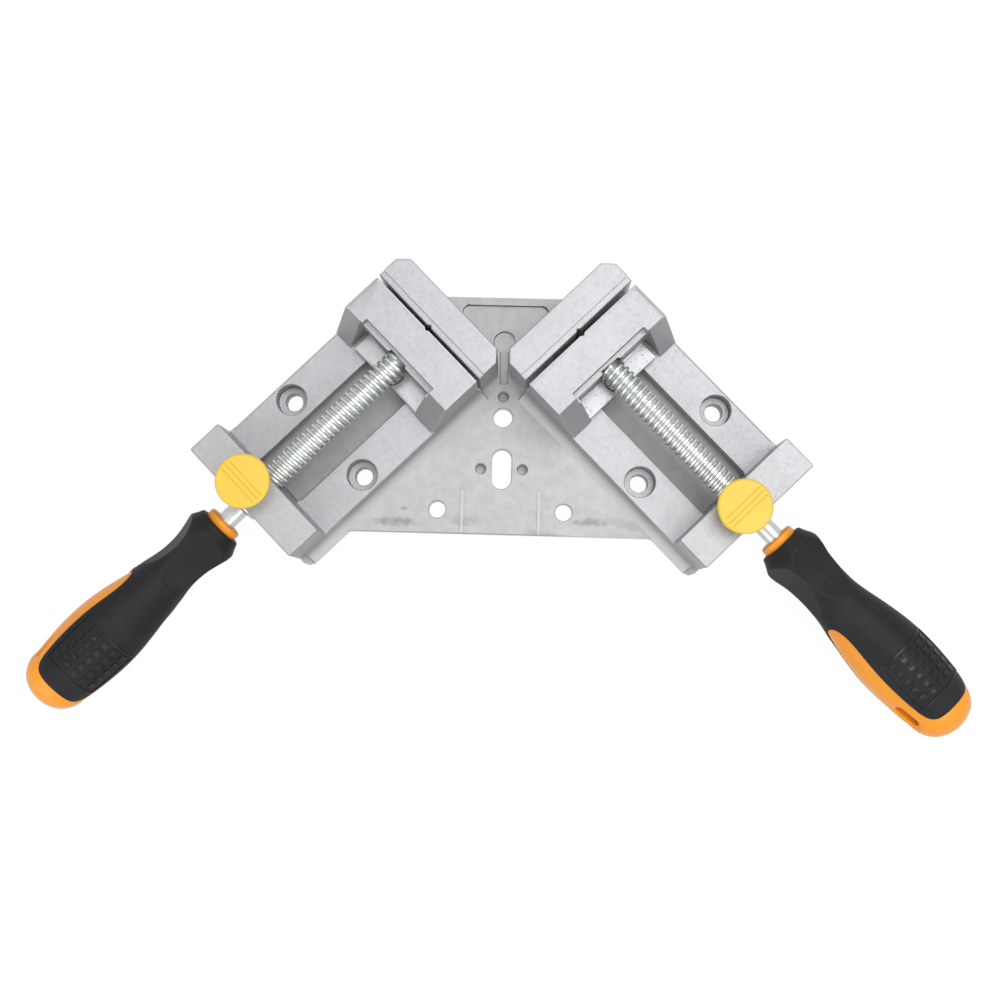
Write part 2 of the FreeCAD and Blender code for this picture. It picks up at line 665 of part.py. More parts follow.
def movable_jaw(side, hand):
    """Make a movable jaw: wall, sloping flanks, foot and tongue.

    The plate lies on the side that hand points to.
    """
    under = jaw_bottom()
    half = d.rail_half
    flank = padded("jaw_flanks", "XZ_Plane", [
        (0, under), (d.moving_long, under), (d.moving_long, under + 1),
        (d.moving_thick, d.jaw_top), (0, d.jaw_top),
    ], half * 2, midplane=True)
    ends = sorted([d.foot_half * hand, d.flank_inner * -hand], key=lambda size: size.value)
    hollow = box("jaw_hollow", [d.moving_thick, ends[0], under],
                 [d.moving_long + 1, ends[1], d.jaw_top + 1])
    ledge_half = d.foot_half + d.ledge_past
    ledge = box("jaw_ledge", [d.moving_wall, -ledge_half, d.jaw_top - d.ledge_drop],
                [d.moving_long, ledge_half, d.jaw_top + 1])
    foot = box("jaw_foot", [d.moving_thick - 1, -d.foot_half, under],
               [d.foot_long, d.foot_half, d.foot_top])
    tongue_half = d.channel_half - d.tongue_play
    keeper_top = d.plate_thick + d.groove_high - d.keeper_play
    tongue = box("jaw_tongue", [d.tongue_start, -tongue_half, keeper_top],
                 [d.foot_long, tongue_half, under + 1])
    strip = box("jaw_strip", [-1, -half - 1, d.jaw_top - d.face_step / 2],
                [d.moving_strip, half + 1, d.jaw_top + 1])
    vee = padded("jaw_vee", "XY_Plane", [
        (-1, -d.vee_half * 2), (-1, d.vee_half * 2), (d.vee_deep, 0),
    ], d.jaw_top)
    place(vee, [0, 0, under])
    wide = d.top_slope_wide
    drop = d.top_slope_drop
    slope = padded("jaw_top_slope", "YZ_Plane", [
        (-hand * (half - wide * 2), d.jaw_top + drop), (-hand * (half + wide), d.jaw_top + drop),
        (-hand * (half + wide), d.jaw_top - drop * 2),
    ], d.moving_long + 2)
    place(slope, [-1, 0, 0])
    recess_dia = d.thread_dia + d.bore_play * 6
    cutters = [
        strip, vee, slope,
        cylinder("nose_bore", d.nose_dia + d.nose_play * 2, d.moving_long,
                 [d.nose_tip - d.bore_play, 0, d.screw_axis], ALONG_X),
        cylinder("thread_recess", recess_dia, d.moving_long,
                 [d.thread_start - d.bore_play, 0, d.screw_axis], ALONG_X),
        cylinder("nose_pin_bore", d.pin_dia + d.fit_play * 2, d.screw_axis - keeper_top,
                 [d.neck_start + d.neck_long / 2, 0, keeper_top - 1]),
        cylinder("keeper_screw_bore", d.keeper_screw_dia + d.fit_play * 2, d.jaw_top,
                 [d.keeper_screw_along, 0, 0]),
        cylinder("keeper_head_bore", d.keeper_head_dia + d.bore_play * 2,
                 d.screw_axis - d.foot_top + d.keeper_head_high,
                 [d.keeper_screw_along, 0, d.foot_top - d.keeper_head_high]),
    ]
    for way, bevel in ((hand, d.moving_bevel), (-hand, d.moving_corner)):
        corner = padded("jaw_corner", "XY_Plane", [
            (d.moving_thick - bevel, way * (half + 1)),
            (d.moving_long + 1, way * (half + 1)),
            (d.moving_long + 1, way * (half - bevel)),
            (d.moving_long - bevel, way * half),
        ], d.jaw_top)
        cutters.append(corner)
    body = fuse("jaw_body_" + side, [cut("jaw_walls_" + side, flank, [hollow, ledge]), foot, tongue])
    return cut("jaw_" + side, body, cutters)


def keeper(side):
    """Make the keeper: a round plate with two flats, tapped off its middle."""
    low = d.plate_thick + d.keeper_play
    high = d.plate_thick + d.groove_high - d.keeper_play
    disc = cylinder("keeper_disc", d.keeper_half * 2, high - low, [d.keeper_along, 0, low])
    flats = box("keeper_flats", [d.keeper_along - d.keeper_flats / 2, -d.keeper_half - 1, low],
                [d.keeper_along + d.keeper_flats / 2, d.keeper_half + 1, high])
    tapped = cylinder("keeper_tapped", d.keeper_screw_dia + d.fit_play * 2, high,
                      [d.keeper_screw_along, 0, 0])
    return cut("keeper_" + side, common("keeper_plate_" + side, disc, flats), [tapped])


def cross(name, along, across, low):
    """Make the two cutters of a screw head's cross recess, from a height upwards."""
    high = low + d.cross_deep + 1
    ends = (d.cross_long / 2, d.cross_wide / 2)
    return [box(name, [along - x, across - y, low], [along + x, across + y, high])
            for x, y in (ends, ends[::-1])]


def keeper_screw(side):
    """Make the keeper screw with a cross recess in its head."""
    low = d.plate_thick + d.keeper_play + d.keeper_screw_short
    head_low = d.foot_top - d.keeper_head_high
    shaft = cylinder("keeper_shaft", d.keeper_screw_dia, head_low + 1 - low,
                     [d.keeper_screw_along, 0, low])
    head = cylinder("keeper_head", d.keeper_head_dia, d.keeper_head_high,
                    [d.keeper_screw_along, 0, head_low])
    slots = cross("keeper_slot", d.keeper_screw_along, 0, d.foot_top - d.cross_deep)
    return cut("keeper_bolt_" + side, fuse("keeper_bolt_solid_" + side, [shaft, head]), slots)


def lead_screw(side):
    """Make the lead screw: nose with its groove, thread and plain shank."""
    nose = d.nose_dia / 2
    neck_end = d.neck_start + d.neck_long
    crest = d.thread_dia / 2
    shank = d.shank_dia / 2
    lead = d.thread_pitch * 0.4
    shank_end = d.collar_start + d.shank_hold
    profile = [
        (d.nose_tip, 0), (d.nose_tip, nose - d.nose_bevel), (d.nose_tip + d.nose_bevel, nose),
        (d.neck_start, nose), (d.neck_start, d.neck_dia / 2), (neck_end, d.neck_dia / 2),
        (neck_end, nose), (d.thread_start, nose), (d.thread_start, crest - lead),
        (d.thread_start + lead, crest), (d.thread_end - lead, crest),
        (d.thread_end, crest - lead), (d.thread_end, shank),
        (shank_end, shank), (shank_end, 0),
    ]
    return revolved("screw_" + side, profile)


def nose_pin(side):
    """Make the pin that stands in the nose's groove, with a bevelled tip."""
    low = d.plate_thick + d.groove_high - d.keeper_play + d.pin_low_play
    high = d.screw_axis - d.neck_dia / 2 - d.pin_high_play - d.pin_tip_high
    along = d.neck_start + d.neck_long / 2
    pin = cylinder("pin_shaft", d.pin_dia, high - low, [along, 0, low])
    tip = cone("pin_tip", d.pin_dia, d.pin_tip_dia, d.pin_tip_high, [along, 0, high])
    return fuse("pin_" + side, [pin, tip])


def guide_bush(side):
    """Make the guide bush, rounded where it stands out of the block."""
    inner = d.thread_dia / 2 + d.bore_play
    outer = d.bush_dia / 2
    start = block_mid + d.nut_thick / 2 + d.nut_play * 2
    end = block_far + d.bush_proud
    return revolved("bush_" + side, [
        (start, inner), (start, outer), (end - d.bush_lead, outer),
        (end, outer - d.bush_lead), (end, inner),
    ])


def half_nut(side):
    """Make the half nut: saddle under the screw, leg and stem beside it."""
    thick = d.nut_thick / 2
    body = padded("nut_body", "YZ_Plane", [
        (-d.nut_right, d.nut_low), (d.nut_left, d.nut_low), (d.nut_left, nut_top),
        (-d.leg_inner, nut_top), (-d.leg_inner, d.nut_leg_top), (-d.nut_right, d.nut_leg_top),
    ], d.nut_thick)
    place(body, [block_mid - thick, 0, 0])
    saddle = cylinder("nut_saddle", d.thread_dia + d.nut_play * 2, d.nut_thick + 2,
                      [block_mid - thick - 1, 0, d.screw_axis], ALONG_X)
    seat = cylinder("spring_seat", d.spring_dia + d.nut_play * 3, d.spring_seat + 1,
                    [block_mid, cover_middle, d.nut_low - 1])
    stem_top = button_low + d.button_bore_deep - d.fit_play
    stem = cylinder("nut_stem", d.stem_dia, stem_top - d.nut_low - 2,
                    [block_mid, -d.stem_across, d.nut_low + 2])
    return fuse("nut_" + side, [cut("nut_cut_" + side, body, [saddle, seat]), stem])


def nut_spring(side):
    """Make the half nut's coil spring, swept along a helix."""
    low = d.cover_inset + d.cover_thick
    high = d.nut_low + d.spring_seat
    radius = (d.spring_dia - d.spring_wire) / 2
    rise = high - low - d.spring_wire - d.fit_play * 2
    helix = doc.addObject("Part::Helix", "spring_helix")
    bind(helix, "Radius", radius)
    bind(helix, "Height", rise)
    bind(helix, "Pitch", rise / SPRING_TURNS)
    ring = doc.addObject("Part::RegularPolygon", "spring_section")
    ring.Polygon = 4
    bind(ring, "Circumradius", d.spring_wire / 2)
    place(ring, [radius, 0, 0], FreeCAD.Rotation(FreeCAD.Vector(1, 0, 0), 90))
    coil = doc.addObject("Part::Sweep", "spring_" + side)
    coil.Sections = [ring]
    coil.Spine = helix
    coil.Solid = True
    coil.Frenet = True
    return coil


def nut_cover(side):
    """Make the cover under the nut block, countersunk for its screws."""
    low = [block_mid - d.cover_wide / 2, cover_middle - d.cover_long / 2, d.cover_inset]
    high = [block_mid + d.cover_wide / 2, cover_middle + d.cover_long / 2,
            d.cover_inset + d.cover_thick]
    sinks = []
    for way in (-1, 1):
        spot = [block_mid, cover_middle + d.cover_screw_span / 2 * way, 0]
        sinks.append(cylinder("cover_hole", d.cover_screw_dia + d.fit_play * 2, 5, spot))
        sinks.append(cone("cover_sink", d.cover_head_dia + 0.9, d.cover_screw_dia,
                          d.cover_thick, [spot[0], spot[1], d.cover_inset - 0.05]))
    return cut("cover_" + side, box("cover_plate", low, high), sinks)


def cover_screws(side):
    """Make a cover's two countersunk screws as one group of solids."""
    screws = []
    for way in (-1, 1):
        spot = [block_mid, cover_middle + d.cover_screw_span / 2 * way, d.cover_inset]
        head = cone("cover_head", d.cover_head_dia, d.cover_screw_dia, d.cover_thick * 0.6, spot)
        shaft = cylinder("cover_shaft", d.cover_screw_dia, d.cover_screw_long, spot)
        slots = cross("cover_slot", spot[0], spot[1], d.cover_inset - 1)
        screws.append(cut("cover_screw", fuse("cover_screw_whole", [head, shaft]), slots))
    group = doc.addObject("Part::Compound", "cover_screws_" + side)
    group.Links = screws
    return group


def release_button(side):
    """Make the release button: a grooved disc with a hub round the stem."""
    top = button_low + d.button_high
    low = top - d.button_disc_thick
    edge = d.button_edge
    rim_dia = d.button_dia - edge * 2
    spot = [block_mid, -d.button_across]
    disc = [
        cone("button_under", rim_dia, d.button_dia, edge, spot + [low]),
        cylinder("button_disc", d.button_dia, d.button_disc_thick - edge * 2, spot + [low + edge]),
        cone("button_rim", d.button_dia, rim_dia, edge, spot + [top - edge]),
    ]
    hub = cylinder("button_hub", d.button_hub_dia, low + edge - button_low,
                   [block_mid, -d.stem_across, button_low])
    rounded = fuse("button_" + side + "_whole", disc + [hub])
    cutters = [cylinder("button_bore", d.stem_dia + d.fit_play * 2, d.button_bore_deep + 1,
                        [block_mid, -d.stem_across, button_low - 1])]
    wide = d.groove_wide / 2
    long = d.groove_long / 2
    for index in (-1, 0, 1):
        along = block_mid + d.groove_off + d.groove_pitch * index
        cutters.append(box("button_groove",
                           [along - wide, -d.button_across - long, top - d.groove_deep],
                           [along + wide, -d.button_across + long, top + 1]))
    return cut("button_" + side, rounded, cutters)


def handle_side():
    """Return the control points of the handle's side."""
    side = [
        (d.collar_long + d.fit_play, d.grip_front_dia / 2), (d.rise_at, d.rise_dia / 2),
        (d.shoulder_at, d.shoulder_dia / 2), (d.neck_at, d.neck_round_dia / 2),
        (d.waist_at, d.waist_dia / 2), (d.swell_at, d.swell_dia / 2),
        (d.belly_at, d.belly_dia / 2), (d.handle_long - d.heel_back, d.heel_dia / 2),
        (d.handle_long - d.end_back, d.end_dia / 2), (d.handle_long, d.tip_dia / 2),
    ]
    return side + [(d.handle_long, Size.of(0))]


def handle_form(name):
    """Turn a body from a spline whose control points are bound to sizes."""
    body = doc.addObject("PartDesign::Body", name)
    sketch = body.newObject("Sketcher::SketchObject", name + "_outline")
    sketch.AttachmentSupport = [(plane_of(body, "XZ_Plane"), "")]
    sketch.MapMode = "FlatFace"
    points = handle_side()
    poles = [FreeCAD.Vector(along.value, radius.value, 0) for along, radius in points]
    curve = Part.BSplineCurve()
    curve.buildFromPoles(poles, False, 3)
    side = sketch.addGeometry(curve, False)
    foot = FreeCAD.Vector(poles[0].x, 0, 0)
    axis = sketch.addGeometry(Part.LineSegment(poles[-1], foot), False)
    front = sketch.addGeometry(Part.LineSegment(foot, poles[0]), False)
    for first, second in ((side, axis), (axis, front), (front, side)):
        sketch.addConstraint(Sketcher.Constraint("Coincident", first, END, second, START))
    sketch.addConstraint(Sketcher.Constraint("PointOnObject", axis, END, HORIZONTAL_AXIS))
    sketch.exposeInternalGeometry(side)
    for index, (along, radius) in enumerate(points):
        for kind, size in (("DistanceX", along), ("DistanceY", radius)):
            rule = Sketcher.Constraint(kind, ORIGIN_POINT, START, front + 1 + index, CENTRE,
                                       size.value)
            number = sketch.addConstraint(rule)
            label = "%s_pole%d" % (kind, index)
            sketch.renameConstraint(number, label)
            sketch.setExpression("Constraints." + label, size.text)
    turned = body.newObject("PartDesign::Revolution", name + "_turned")
    turned.Profile = sketch
    turned.ReferenceAxis = (sketch, ["H_Axis"])
    turned.Angle = 360
    sketch.Visibility = False
    return body


def scooped(body, name):
    """Cut the oval scoops round a turned handle's neck."""
    doc.recompute()
    sketch = body.newObject("Sketcher::SketchObject", name + "_outline")
    sketch.AttachmentSupport = [(plane_of(body, "XZ_Plane"), "")]
    sketch.MapMode = "FlatFace"
    middle = d.scoop_away + d.scoop_radius
    spot = FreeCAD.Vector(d.scoop_at.value, middle.value, 0)
    ring = sketch.addGeometry(Part.Circle(spot, FreeCAD.Vector(0, 0, 1), d.scoop_radius.value))
    for kind, size in (("DistanceX", d.scoop_at), ("DistanceY", middle)):
        number = sketch.addConstraint(Sketcher.Constraint(kind, ORIGIN_POINT, START, ring, CENTRE,
                                                          size.value))
        sketch.renameConstraint(number, kind + "_middle")
        sketch.setExpression("Constraints.%s_middle" % kind, size.text)
    number = sketch.addConstraint(Sketcher.Constraint("Radius", ring, d.scoop_radius.value))
    sketch.renameConstraint(number, "radius")
    sketch.setExpression("Constraints.radius", d.scoop_radius.text)
    scoop = body.newObject("PartDesign::Pocket", name)
    scoop.Profile = sketch
    scoop.SideType = "Symmetric"
    bind(scoop, "Length", d.belly_dia * 2)
    doc.recompute()
    pattern = body.newObject("PartDesign::PolarPattern", name + "_round")
    pattern.Originals = [scoop]
    pattern.Axis = (plane_of(body, "X_Axis"), [""])
    pattern.Angle = 360
    pattern.Occurrences = SCOOP_COUNT
    body.Tip = pattern
    sketch.Visibility = False
    return body


def hard_space(name, play):
    """Return the space of the hard core: inner form, side windows and end cap."""
    reach = d.belly_dia
    cap = d.handle_long - d.cap_long
    half = d.window_half - play
    first = d.window_start + play
    narrow = d.window_taper / 4
    corner = d.window_corner
    rod = revolved(name + "_rod", [
        (d.collar_long, 0), (d.collar_long, d.core_front_dia / 2 - play),
        (d.waist_at, d.core_waist_dia / 2 - play), (d.belly_at, d.core_belly_dia / 2 - play),
        (cap - corner, d.core_belly_dia / 2 - play), (cap + 1, d.core_heel_dia / 2 - play),
        (cap + 1, 0),
    ])
    upper = [
        (first, half * 0.25), (first + narrow, half * 0.62), (first + narrow * 4, half),
        (cap - corner, half), (cap + play, half + corner), (d.handle_long, half + corner),
    ]
    lower = [(along, across * -1) for along, across in reversed(upper)]
    windows = padded(name + "_windows", "XZ_Plane", upper + lower, reach * 2, midplane=True)
    end = box(name + "_cap", [cap + play, -reach, -reach], [d.handle_long + 1, reach, reach])
    return fuse(name, [rod, windows, end])


def hanging_hole(name):
    """Make the cutter of the slot through the handle's end."""
    middle = d.handle_long - d.hang_hole_back
    half = (d.hang_hole_long - d.hang_hole_wide) / 2
    reach = d.belly_dia
    ends = [cylinder(name + "_end", d.hang_hole_wide, reach * 2,
                     [middle + half * way, -reach, 0], ALONG_Y) for way in (-1, 1)]
    slot = box(name + "_slot", [middle - half, -reach, -d.hang_hole_wide / 2],
               [middle + half, reach, d.hang_hole_wide / 2])
    return fuse(name, ends + [slot])


def handle_core(side):
    """Make the hard core: collar, side windows, end cap and the screw's hole."""
    form = scooped(handle_form("core_form"), "core_scoops")
    inner = common("core_inside", form, hard_space("core_space", d.fit_play))
    collar = revolved("core_collar", [
        (0, 0), (0, d.collar_dia / 2 - 0.8), (0.8, d.collar_dia / 2),
        (d.collar_long, d.collar_dia / 2), (d.collar_long, d.collar_dia / 4 + 2),
        (d.collar_long + 1, d.collar_dia / 4 + 2), (d.collar_long + 1, 0),
    ])
    bore = cylinder("core_bore", d.shank_dia + d.fit_play * 2, d.shank_hold + 1.2,
                    [-1, 0, 0], ALONG_X)
    return cut("core_" + side, fuse("core_whole", [inner, collar]),
               [bore, hanging_hole("core_hole")])


def handle_grip(side):
    """Make the soft grip that is moulded over the hard core."""
    form = scooped(handle_form("grip_form"), "grip_scoops")
    return cut("grip_" + side, form, [hard_space("grip_space", 0)])


def arm_pieces(side):
    """Make every separate piece of one arm and lay it on its arm."""
    shift = jaw_shift(side)
    jaw = movable_jaw(side, PLATE_HAND[side])
    node(on_arm(jaw, side, shift), side + "_movable_jaw")
    node(on_arm(keeper(side), side, shift), side + "_jaw_keeper")
    node(on_arm(keeper_screw(side), side, shift), side + "_keeper_screw")
    node(on_arm(nose_pin(side), side, shift), side + "_nose_pin")
    node(on_axis(lead_screw(side), side, shift), side + "_lead_screw")
    front = shift + d.collar_start
    roll = HANDLE_ROLL[side]
    node(on_axis(handle_core(side), side, front, roll), side + "_handle_core")
    node(on_axis(handle_grip(side), side, front, roll), side + "_handle_grip")
    node(on_axis(guide_bush(side), side), side + "_guide_bush")
    node(on_arm(half_nut(side), side), side + "_half_nut")
    seat = d.cover_inset + d.cover_thick + d.spring_wire / 2 + d.fit_play
    node(on_arm(nut_spring(side), side, block_mid, cover_middle, seat), side + "_nut_spring")
    node(on_arm(nut_cover(side), side), side + "_nut_cover")
    node(on_arm(cover_screws(side), side), side + "_cover_screws")
    node(on_arm(release_button(side), side), side + "_release_button")


def check_and_write():
    """Check every object and piece, then write one STEP file for each piece."""
    doc.recompute()
    for item in doc.Objects:
        if "Invalid" in item.State or "Error" in item.State:
            raise RuntimeError("%s failed: %s" % (item.Name, item.State))
    for item in PIECES:
        shape = item.Shape
        if shape.isNull() or not shape.isValid() or not shape.Solids:
            raise RuntimeError("%s has no valid solid" % item.Label)
    for item in PIECES:
        item.Shape.exportStep(os.path.join("parts", item.Label + ".step"))
        box_of = item.Shape.BoundBox
        print("%-24s %d solid(s) %9.1f mm3  %6.1f x %6.1f x %6.1f" % (
            item.Label, len(item.Shape.Solids), item.Shape.Volume,
            box_of.XLength, box_of.YLength, box_of.ZLength))


base_casting()
for arm_side in HANDLE_ROLL:
    arm_pieces(arm_side)
check_and_write()
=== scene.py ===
"""Looks of a two-armed corner clamp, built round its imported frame.

Each arm is modelled in a frame of its own, in metres: x runs along the screw from
the corner to the handle, y across the arm and z up. A finished piece is laid on its
arm by its mesh, so that every object sits at the origin.
"""

import json
import logging
import math
from dataclasses import dataclass
from enum import Enum
from typing import Callable, Dict, List, Sequence, Tuple, Union

import bpy
from mathutils import Matrix, Vector

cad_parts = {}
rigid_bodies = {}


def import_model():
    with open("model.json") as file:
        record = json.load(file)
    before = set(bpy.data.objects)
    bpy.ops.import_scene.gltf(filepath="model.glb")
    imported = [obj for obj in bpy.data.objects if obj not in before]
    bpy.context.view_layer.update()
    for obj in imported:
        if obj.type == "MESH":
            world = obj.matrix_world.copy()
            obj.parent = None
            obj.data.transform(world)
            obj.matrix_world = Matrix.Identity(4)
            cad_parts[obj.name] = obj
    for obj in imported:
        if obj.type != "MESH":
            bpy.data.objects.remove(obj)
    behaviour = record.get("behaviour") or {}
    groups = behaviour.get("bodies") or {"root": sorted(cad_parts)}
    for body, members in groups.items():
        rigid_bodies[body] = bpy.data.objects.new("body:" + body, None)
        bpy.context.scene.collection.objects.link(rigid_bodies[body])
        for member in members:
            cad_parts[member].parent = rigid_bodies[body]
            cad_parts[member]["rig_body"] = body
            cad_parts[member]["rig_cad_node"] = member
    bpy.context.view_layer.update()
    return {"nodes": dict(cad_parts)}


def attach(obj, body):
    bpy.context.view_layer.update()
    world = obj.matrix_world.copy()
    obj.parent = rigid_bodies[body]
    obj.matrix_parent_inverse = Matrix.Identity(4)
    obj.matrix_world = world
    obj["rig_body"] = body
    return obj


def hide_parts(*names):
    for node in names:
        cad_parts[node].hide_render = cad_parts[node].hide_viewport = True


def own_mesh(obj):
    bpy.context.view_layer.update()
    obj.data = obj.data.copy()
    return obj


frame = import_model()

log = logging.getLogger("corner_clamp")

MM = 0.001
FULL_TURN = 2 * math.pi
SQUARE = math.sqrt(0.5)
ARM_AWAY = 41 * MM
SCREW_AXIS = 26 * MM
JAW_SET_BACK = 1.0 * MM
COLLAR_START = 105.4 * MM
BLOCK_MIDDLE = 89.2 * MM
BUTTON_FOOT = 39.2 * MM
SNUG = 0.05 * MM
SHARP = 35.0
NO_TURN = Matrix.Identity(4)

Colour = Tuple[float, float, float]
Point = Tuple[float, float, float]
Spot = Tuple[float, float]
Outline = Sequence[Spot]
Piece = bpy.types.Object
Settings = Dict[Union[int, str], object]


class Side(Enum):
    """The two arms: word, sign of X, turn, roll of the handle and the jaws' gap."""

    RIGHT = ("right", 1, -45.0, 17.5, 2.0)
    LEFT = ("left", -1, -135.0, 23.5, 1.2)

    def __init__(self, word: str, way: int, turn: float, roll: float, gap: float) -> None:
        """Keep what sets one arm apart from the other.

        Args:
            word: how the arm's nodes and bodies are named.
            way: the sign of X on this arm.
            turn: the arm's turn about Z, in degrees.
            roll: the handle's turn about the screw, in degrees.
            gap: the gap between the jaws at rest, in millimetres.
        """
        self.word = word
        self.way = way
        self.turn = math.radians(turn)
        self.roll = math.radians(roll)
        self.jaw_face = gap * MM - JAW_SET_BACK

    def own(self, word: str) -> str:
        """Return the name of this arm's node, body, joint or piece."""
        return self.word + "_" + word

    def bed(self, along: float = 0.0, up: float = 0.0, roll: float = 0.0) -> Matrix:
        """Return the matrix that lays a piece on this arm.

        Args:
            along: how far out along the arm the piece's zero goes, in metres.
            up: how high it goes over the bench, in metres.
            roll: turn of the piece round the arm's own axis, in radians.

        Returns:
            The matrix from the piece's own frame to the clamp's.
        """
        corner = Matrix.Translation((self.way * SQUARE * ARM_AWAY, SQUARE * ARM_AWAY, up))
        turned = corner @ Matrix.Rotation(self.turn, 4, "Z")
        return turned @ Matrix.Translation((along, 0, 0)) @ Matrix.Rotation(-roll, 4, "X")


class Cut(Enum):
    """What a second piece does to the first."""

    AWAY = "DIFFERENCE"
    JOINED = "UNION"


# Modelling

def rest() -> None:
    """Leave edit mode and deselect every object."""
    if bpy.context.mode != "OBJECT":
        bpy.ops.object.mode_set(mode="OBJECT")
    bpy.ops.object.select_all(action="DESELECT")


def take(piece: Piece) -> None:
    """Make one object the only selected and active one.

    Args:
        piece: the object.
    """
    rest()
    piece.select_set(True)
    bpy.context.view_layer.objects.active = piece


def edit(piece: Piece, kind: str = "VERT", whole: bool = False) -> None:
    """Open one object in edit mode with all or nothing of it selected.

    Args:
        piece: the object.
        kind: what is selected in it: "VERT", "EDGE" or "FACE".
        whole: whether all of it is selected.
    """
    take(piece)
    bpy.ops.object.mode_set(mode="EDIT")
    bpy.ops.mesh.select_mode(type=kind)
    bpy.ops.mesh.select_all(action="SELECT" if whole else "DESELECT")


def named(name: str) -> Piece:
    """Name the active object and its mesh.

    Args:
        name: the name for both.

    Returns:
        The active object.
    """
    piece = bpy.context.object
    piece.name = name
    piece.data.name = name
    return piece


def traced(name: str, points: Sequence[Point]) -> Piece:
    """Draw a line of edges, vertex by vertex.

    Args:
        name: the new object's name.
        points: the corners of the line, in metres.

    Returns:
        The object, in edit mode with all of it selected.
    """
    rest()
    bpy.ops.mesh.primitive_plane_add(size=MM)
    piece = named(name)
    bpy.ops.object.mode_set(mode="EDIT")
    bpy.ops.mesh.select_mode(type="VERT")
    bpy.ops.mesh.select_all(action="SELECT")
    bpy.ops.mesh.merge(type="CENTER")
    bpy.ops.transform.translate(value=points[0])
    for first, second in zip(points, points[1:]):
        step = Vector(second) - Vector(first)
        bpy.ops.mesh.extrude_vertices_move(TRANSFORM_OT_translate={"value": step})
    bpy.ops.mesh.select_all(action="SELECT")
    return piece


def closed_up() -> None:
    """Merge doubles and turn all faces outwards, in edit mode."""
    bpy.ops.mesh.select_all(action="SELECT")
    bpy.ops.mesh.remove_doubles(threshold=MM * 0.001)
    bpy.ops.mesh.normals_make_consistent(inside=False)
    bpy.ops.object.mode_set(mode="OBJECT")


def lathe(name: str, outline: Outline, steps: int) -> Piece:
    """Turn an outline of (along, radius) in millimetres about the X axis.

    Args:
        name: the new object's name.
        outline: corners of the outline. It starts and ends on the axis, or it
            ends where it starts.
        steps: how many faces go round.

    Returns:
        The closed turned form.
    """
    piece = traced(name, [(x * MM, 0, r * MM) for x, r in outline])
    bpy.ops.mesh.spin(steps=steps, angle=FULL_TURN, center=(0, 0, 0), axis=(1, 0, 0))
    closed_up()
    return piece


def slab(name: str, outline: Outline, depth: float, axis: str = "Z") -> Piece:
    """Fill an outline in millimetres and pull it out evenly to both sides.

    Args:
        name: the new object's name.
        outline: corners of the outline, in the plane across the axis.
        depth: the whole depth in millimetres.
        axis: "Z" for an outline of (x, y), "Y" for one of (x, z).

    Returns:
        The closed form.
    """
    low = -depth / 2 * MM
    if axis == "Z":
        points = [(x * MM, y * MM, low) for x, y in outline]
        pull = (0, 0, depth * MM)
    else:
        points = [(x * MM, low, z * MM) for x, z in outline]
        pull = (0, depth * MM, 0)
    piece = traced(name, points)
    bpy.ops.mesh.edge_face_add()
    bpy.ops.mesh.extrude_region_move(TRANSFORM_OT_translate={"value": pull})
    closed_up()
    return piece


def applied(piece: Piece, kind: str, settings: Settings) -> Piece:
    """Add a modifier to a piece and apply it.

    Args:
        piece: the piece.
        kind: the modifier's type.
        settings: its settings, by name.

    Returns:
        The same piece.
    """
    modifier = piece.modifiers.new(kind.lower(), kind)
    for name, value in settings.items():
        setattr(modifier, name, value)
    take(piece)
    bpy.ops.object.modifier_apply(modifier=modifier.name)
    return piece


def combine(piece: Piece, other: Piece, how: Cut) -> Piece:
    """Cut or join one piece with another, which is used up.

    Args:
        piece: the piece that is kept.
        other: the one that is used up.
        how: what the second does to the first.

    Returns:
        The piece that is kept.
    """
    applied(piece, "BOOLEAN", {"operation": how.value, "solver": "EXACT", "object": other})
    bpy.data.objects.remove(other)
    return piece


def joined(pieces: Sequence[Piece], name: str) -> Piece:
    """Join several objects into one mesh without cutting them.

    Args:
        pieces: the objects, of which the first is kept.
        name: the joined object's name.

    Returns:
        The joined object.
    """
    take(pieces[0])
    for piece in pieces[1:]:
        piece.select_set(True)
    bpy.ops.object.join()
    return named(name)


def twin(piece: Piece, name: str, move: Matrix = NO_TURN) -> Piece:
    """Copy a piece with a mesh of its own.

    Args:
        piece: the piece.
        name: the copy's name.
        move: how the copy's mesh is moved.

    Returns:
        The copy.
    """
    copy = bpy.data.objects.new(name, piece.data.copy())
    copy.data.name = name
    copy.data.transform(move)
    bpy.context.scene.collection.objects.link(copy)
    return copy


def softened(piece: Piece, width: float, angle: float = SHARP,
             limit: str = "ANGLE", slot: int = -1) -> Piece:
    """Round the edges of a piece by a bevel modifier.

    Args:
        piece: the piece to round.
        width: the bevel's width in millimetres.
        angle: smallest edge angle that is rounded, in degrees.
        limit: "ANGLE" to go by that angle, "WEIGHT" by the edges' bevel weights.
        slot: the material slot of the new faces, or -1 for their neighbours' one.

    Returns:
        The same piece.
    """
    return applied(piece, "BEVEL", {
        "width": width * MM, "segments": 2, "limit_method": limit, "loop_slide": False,
        "material": slot, "angle_limit": math.radians(angle), "use_clamp_overlap": False})


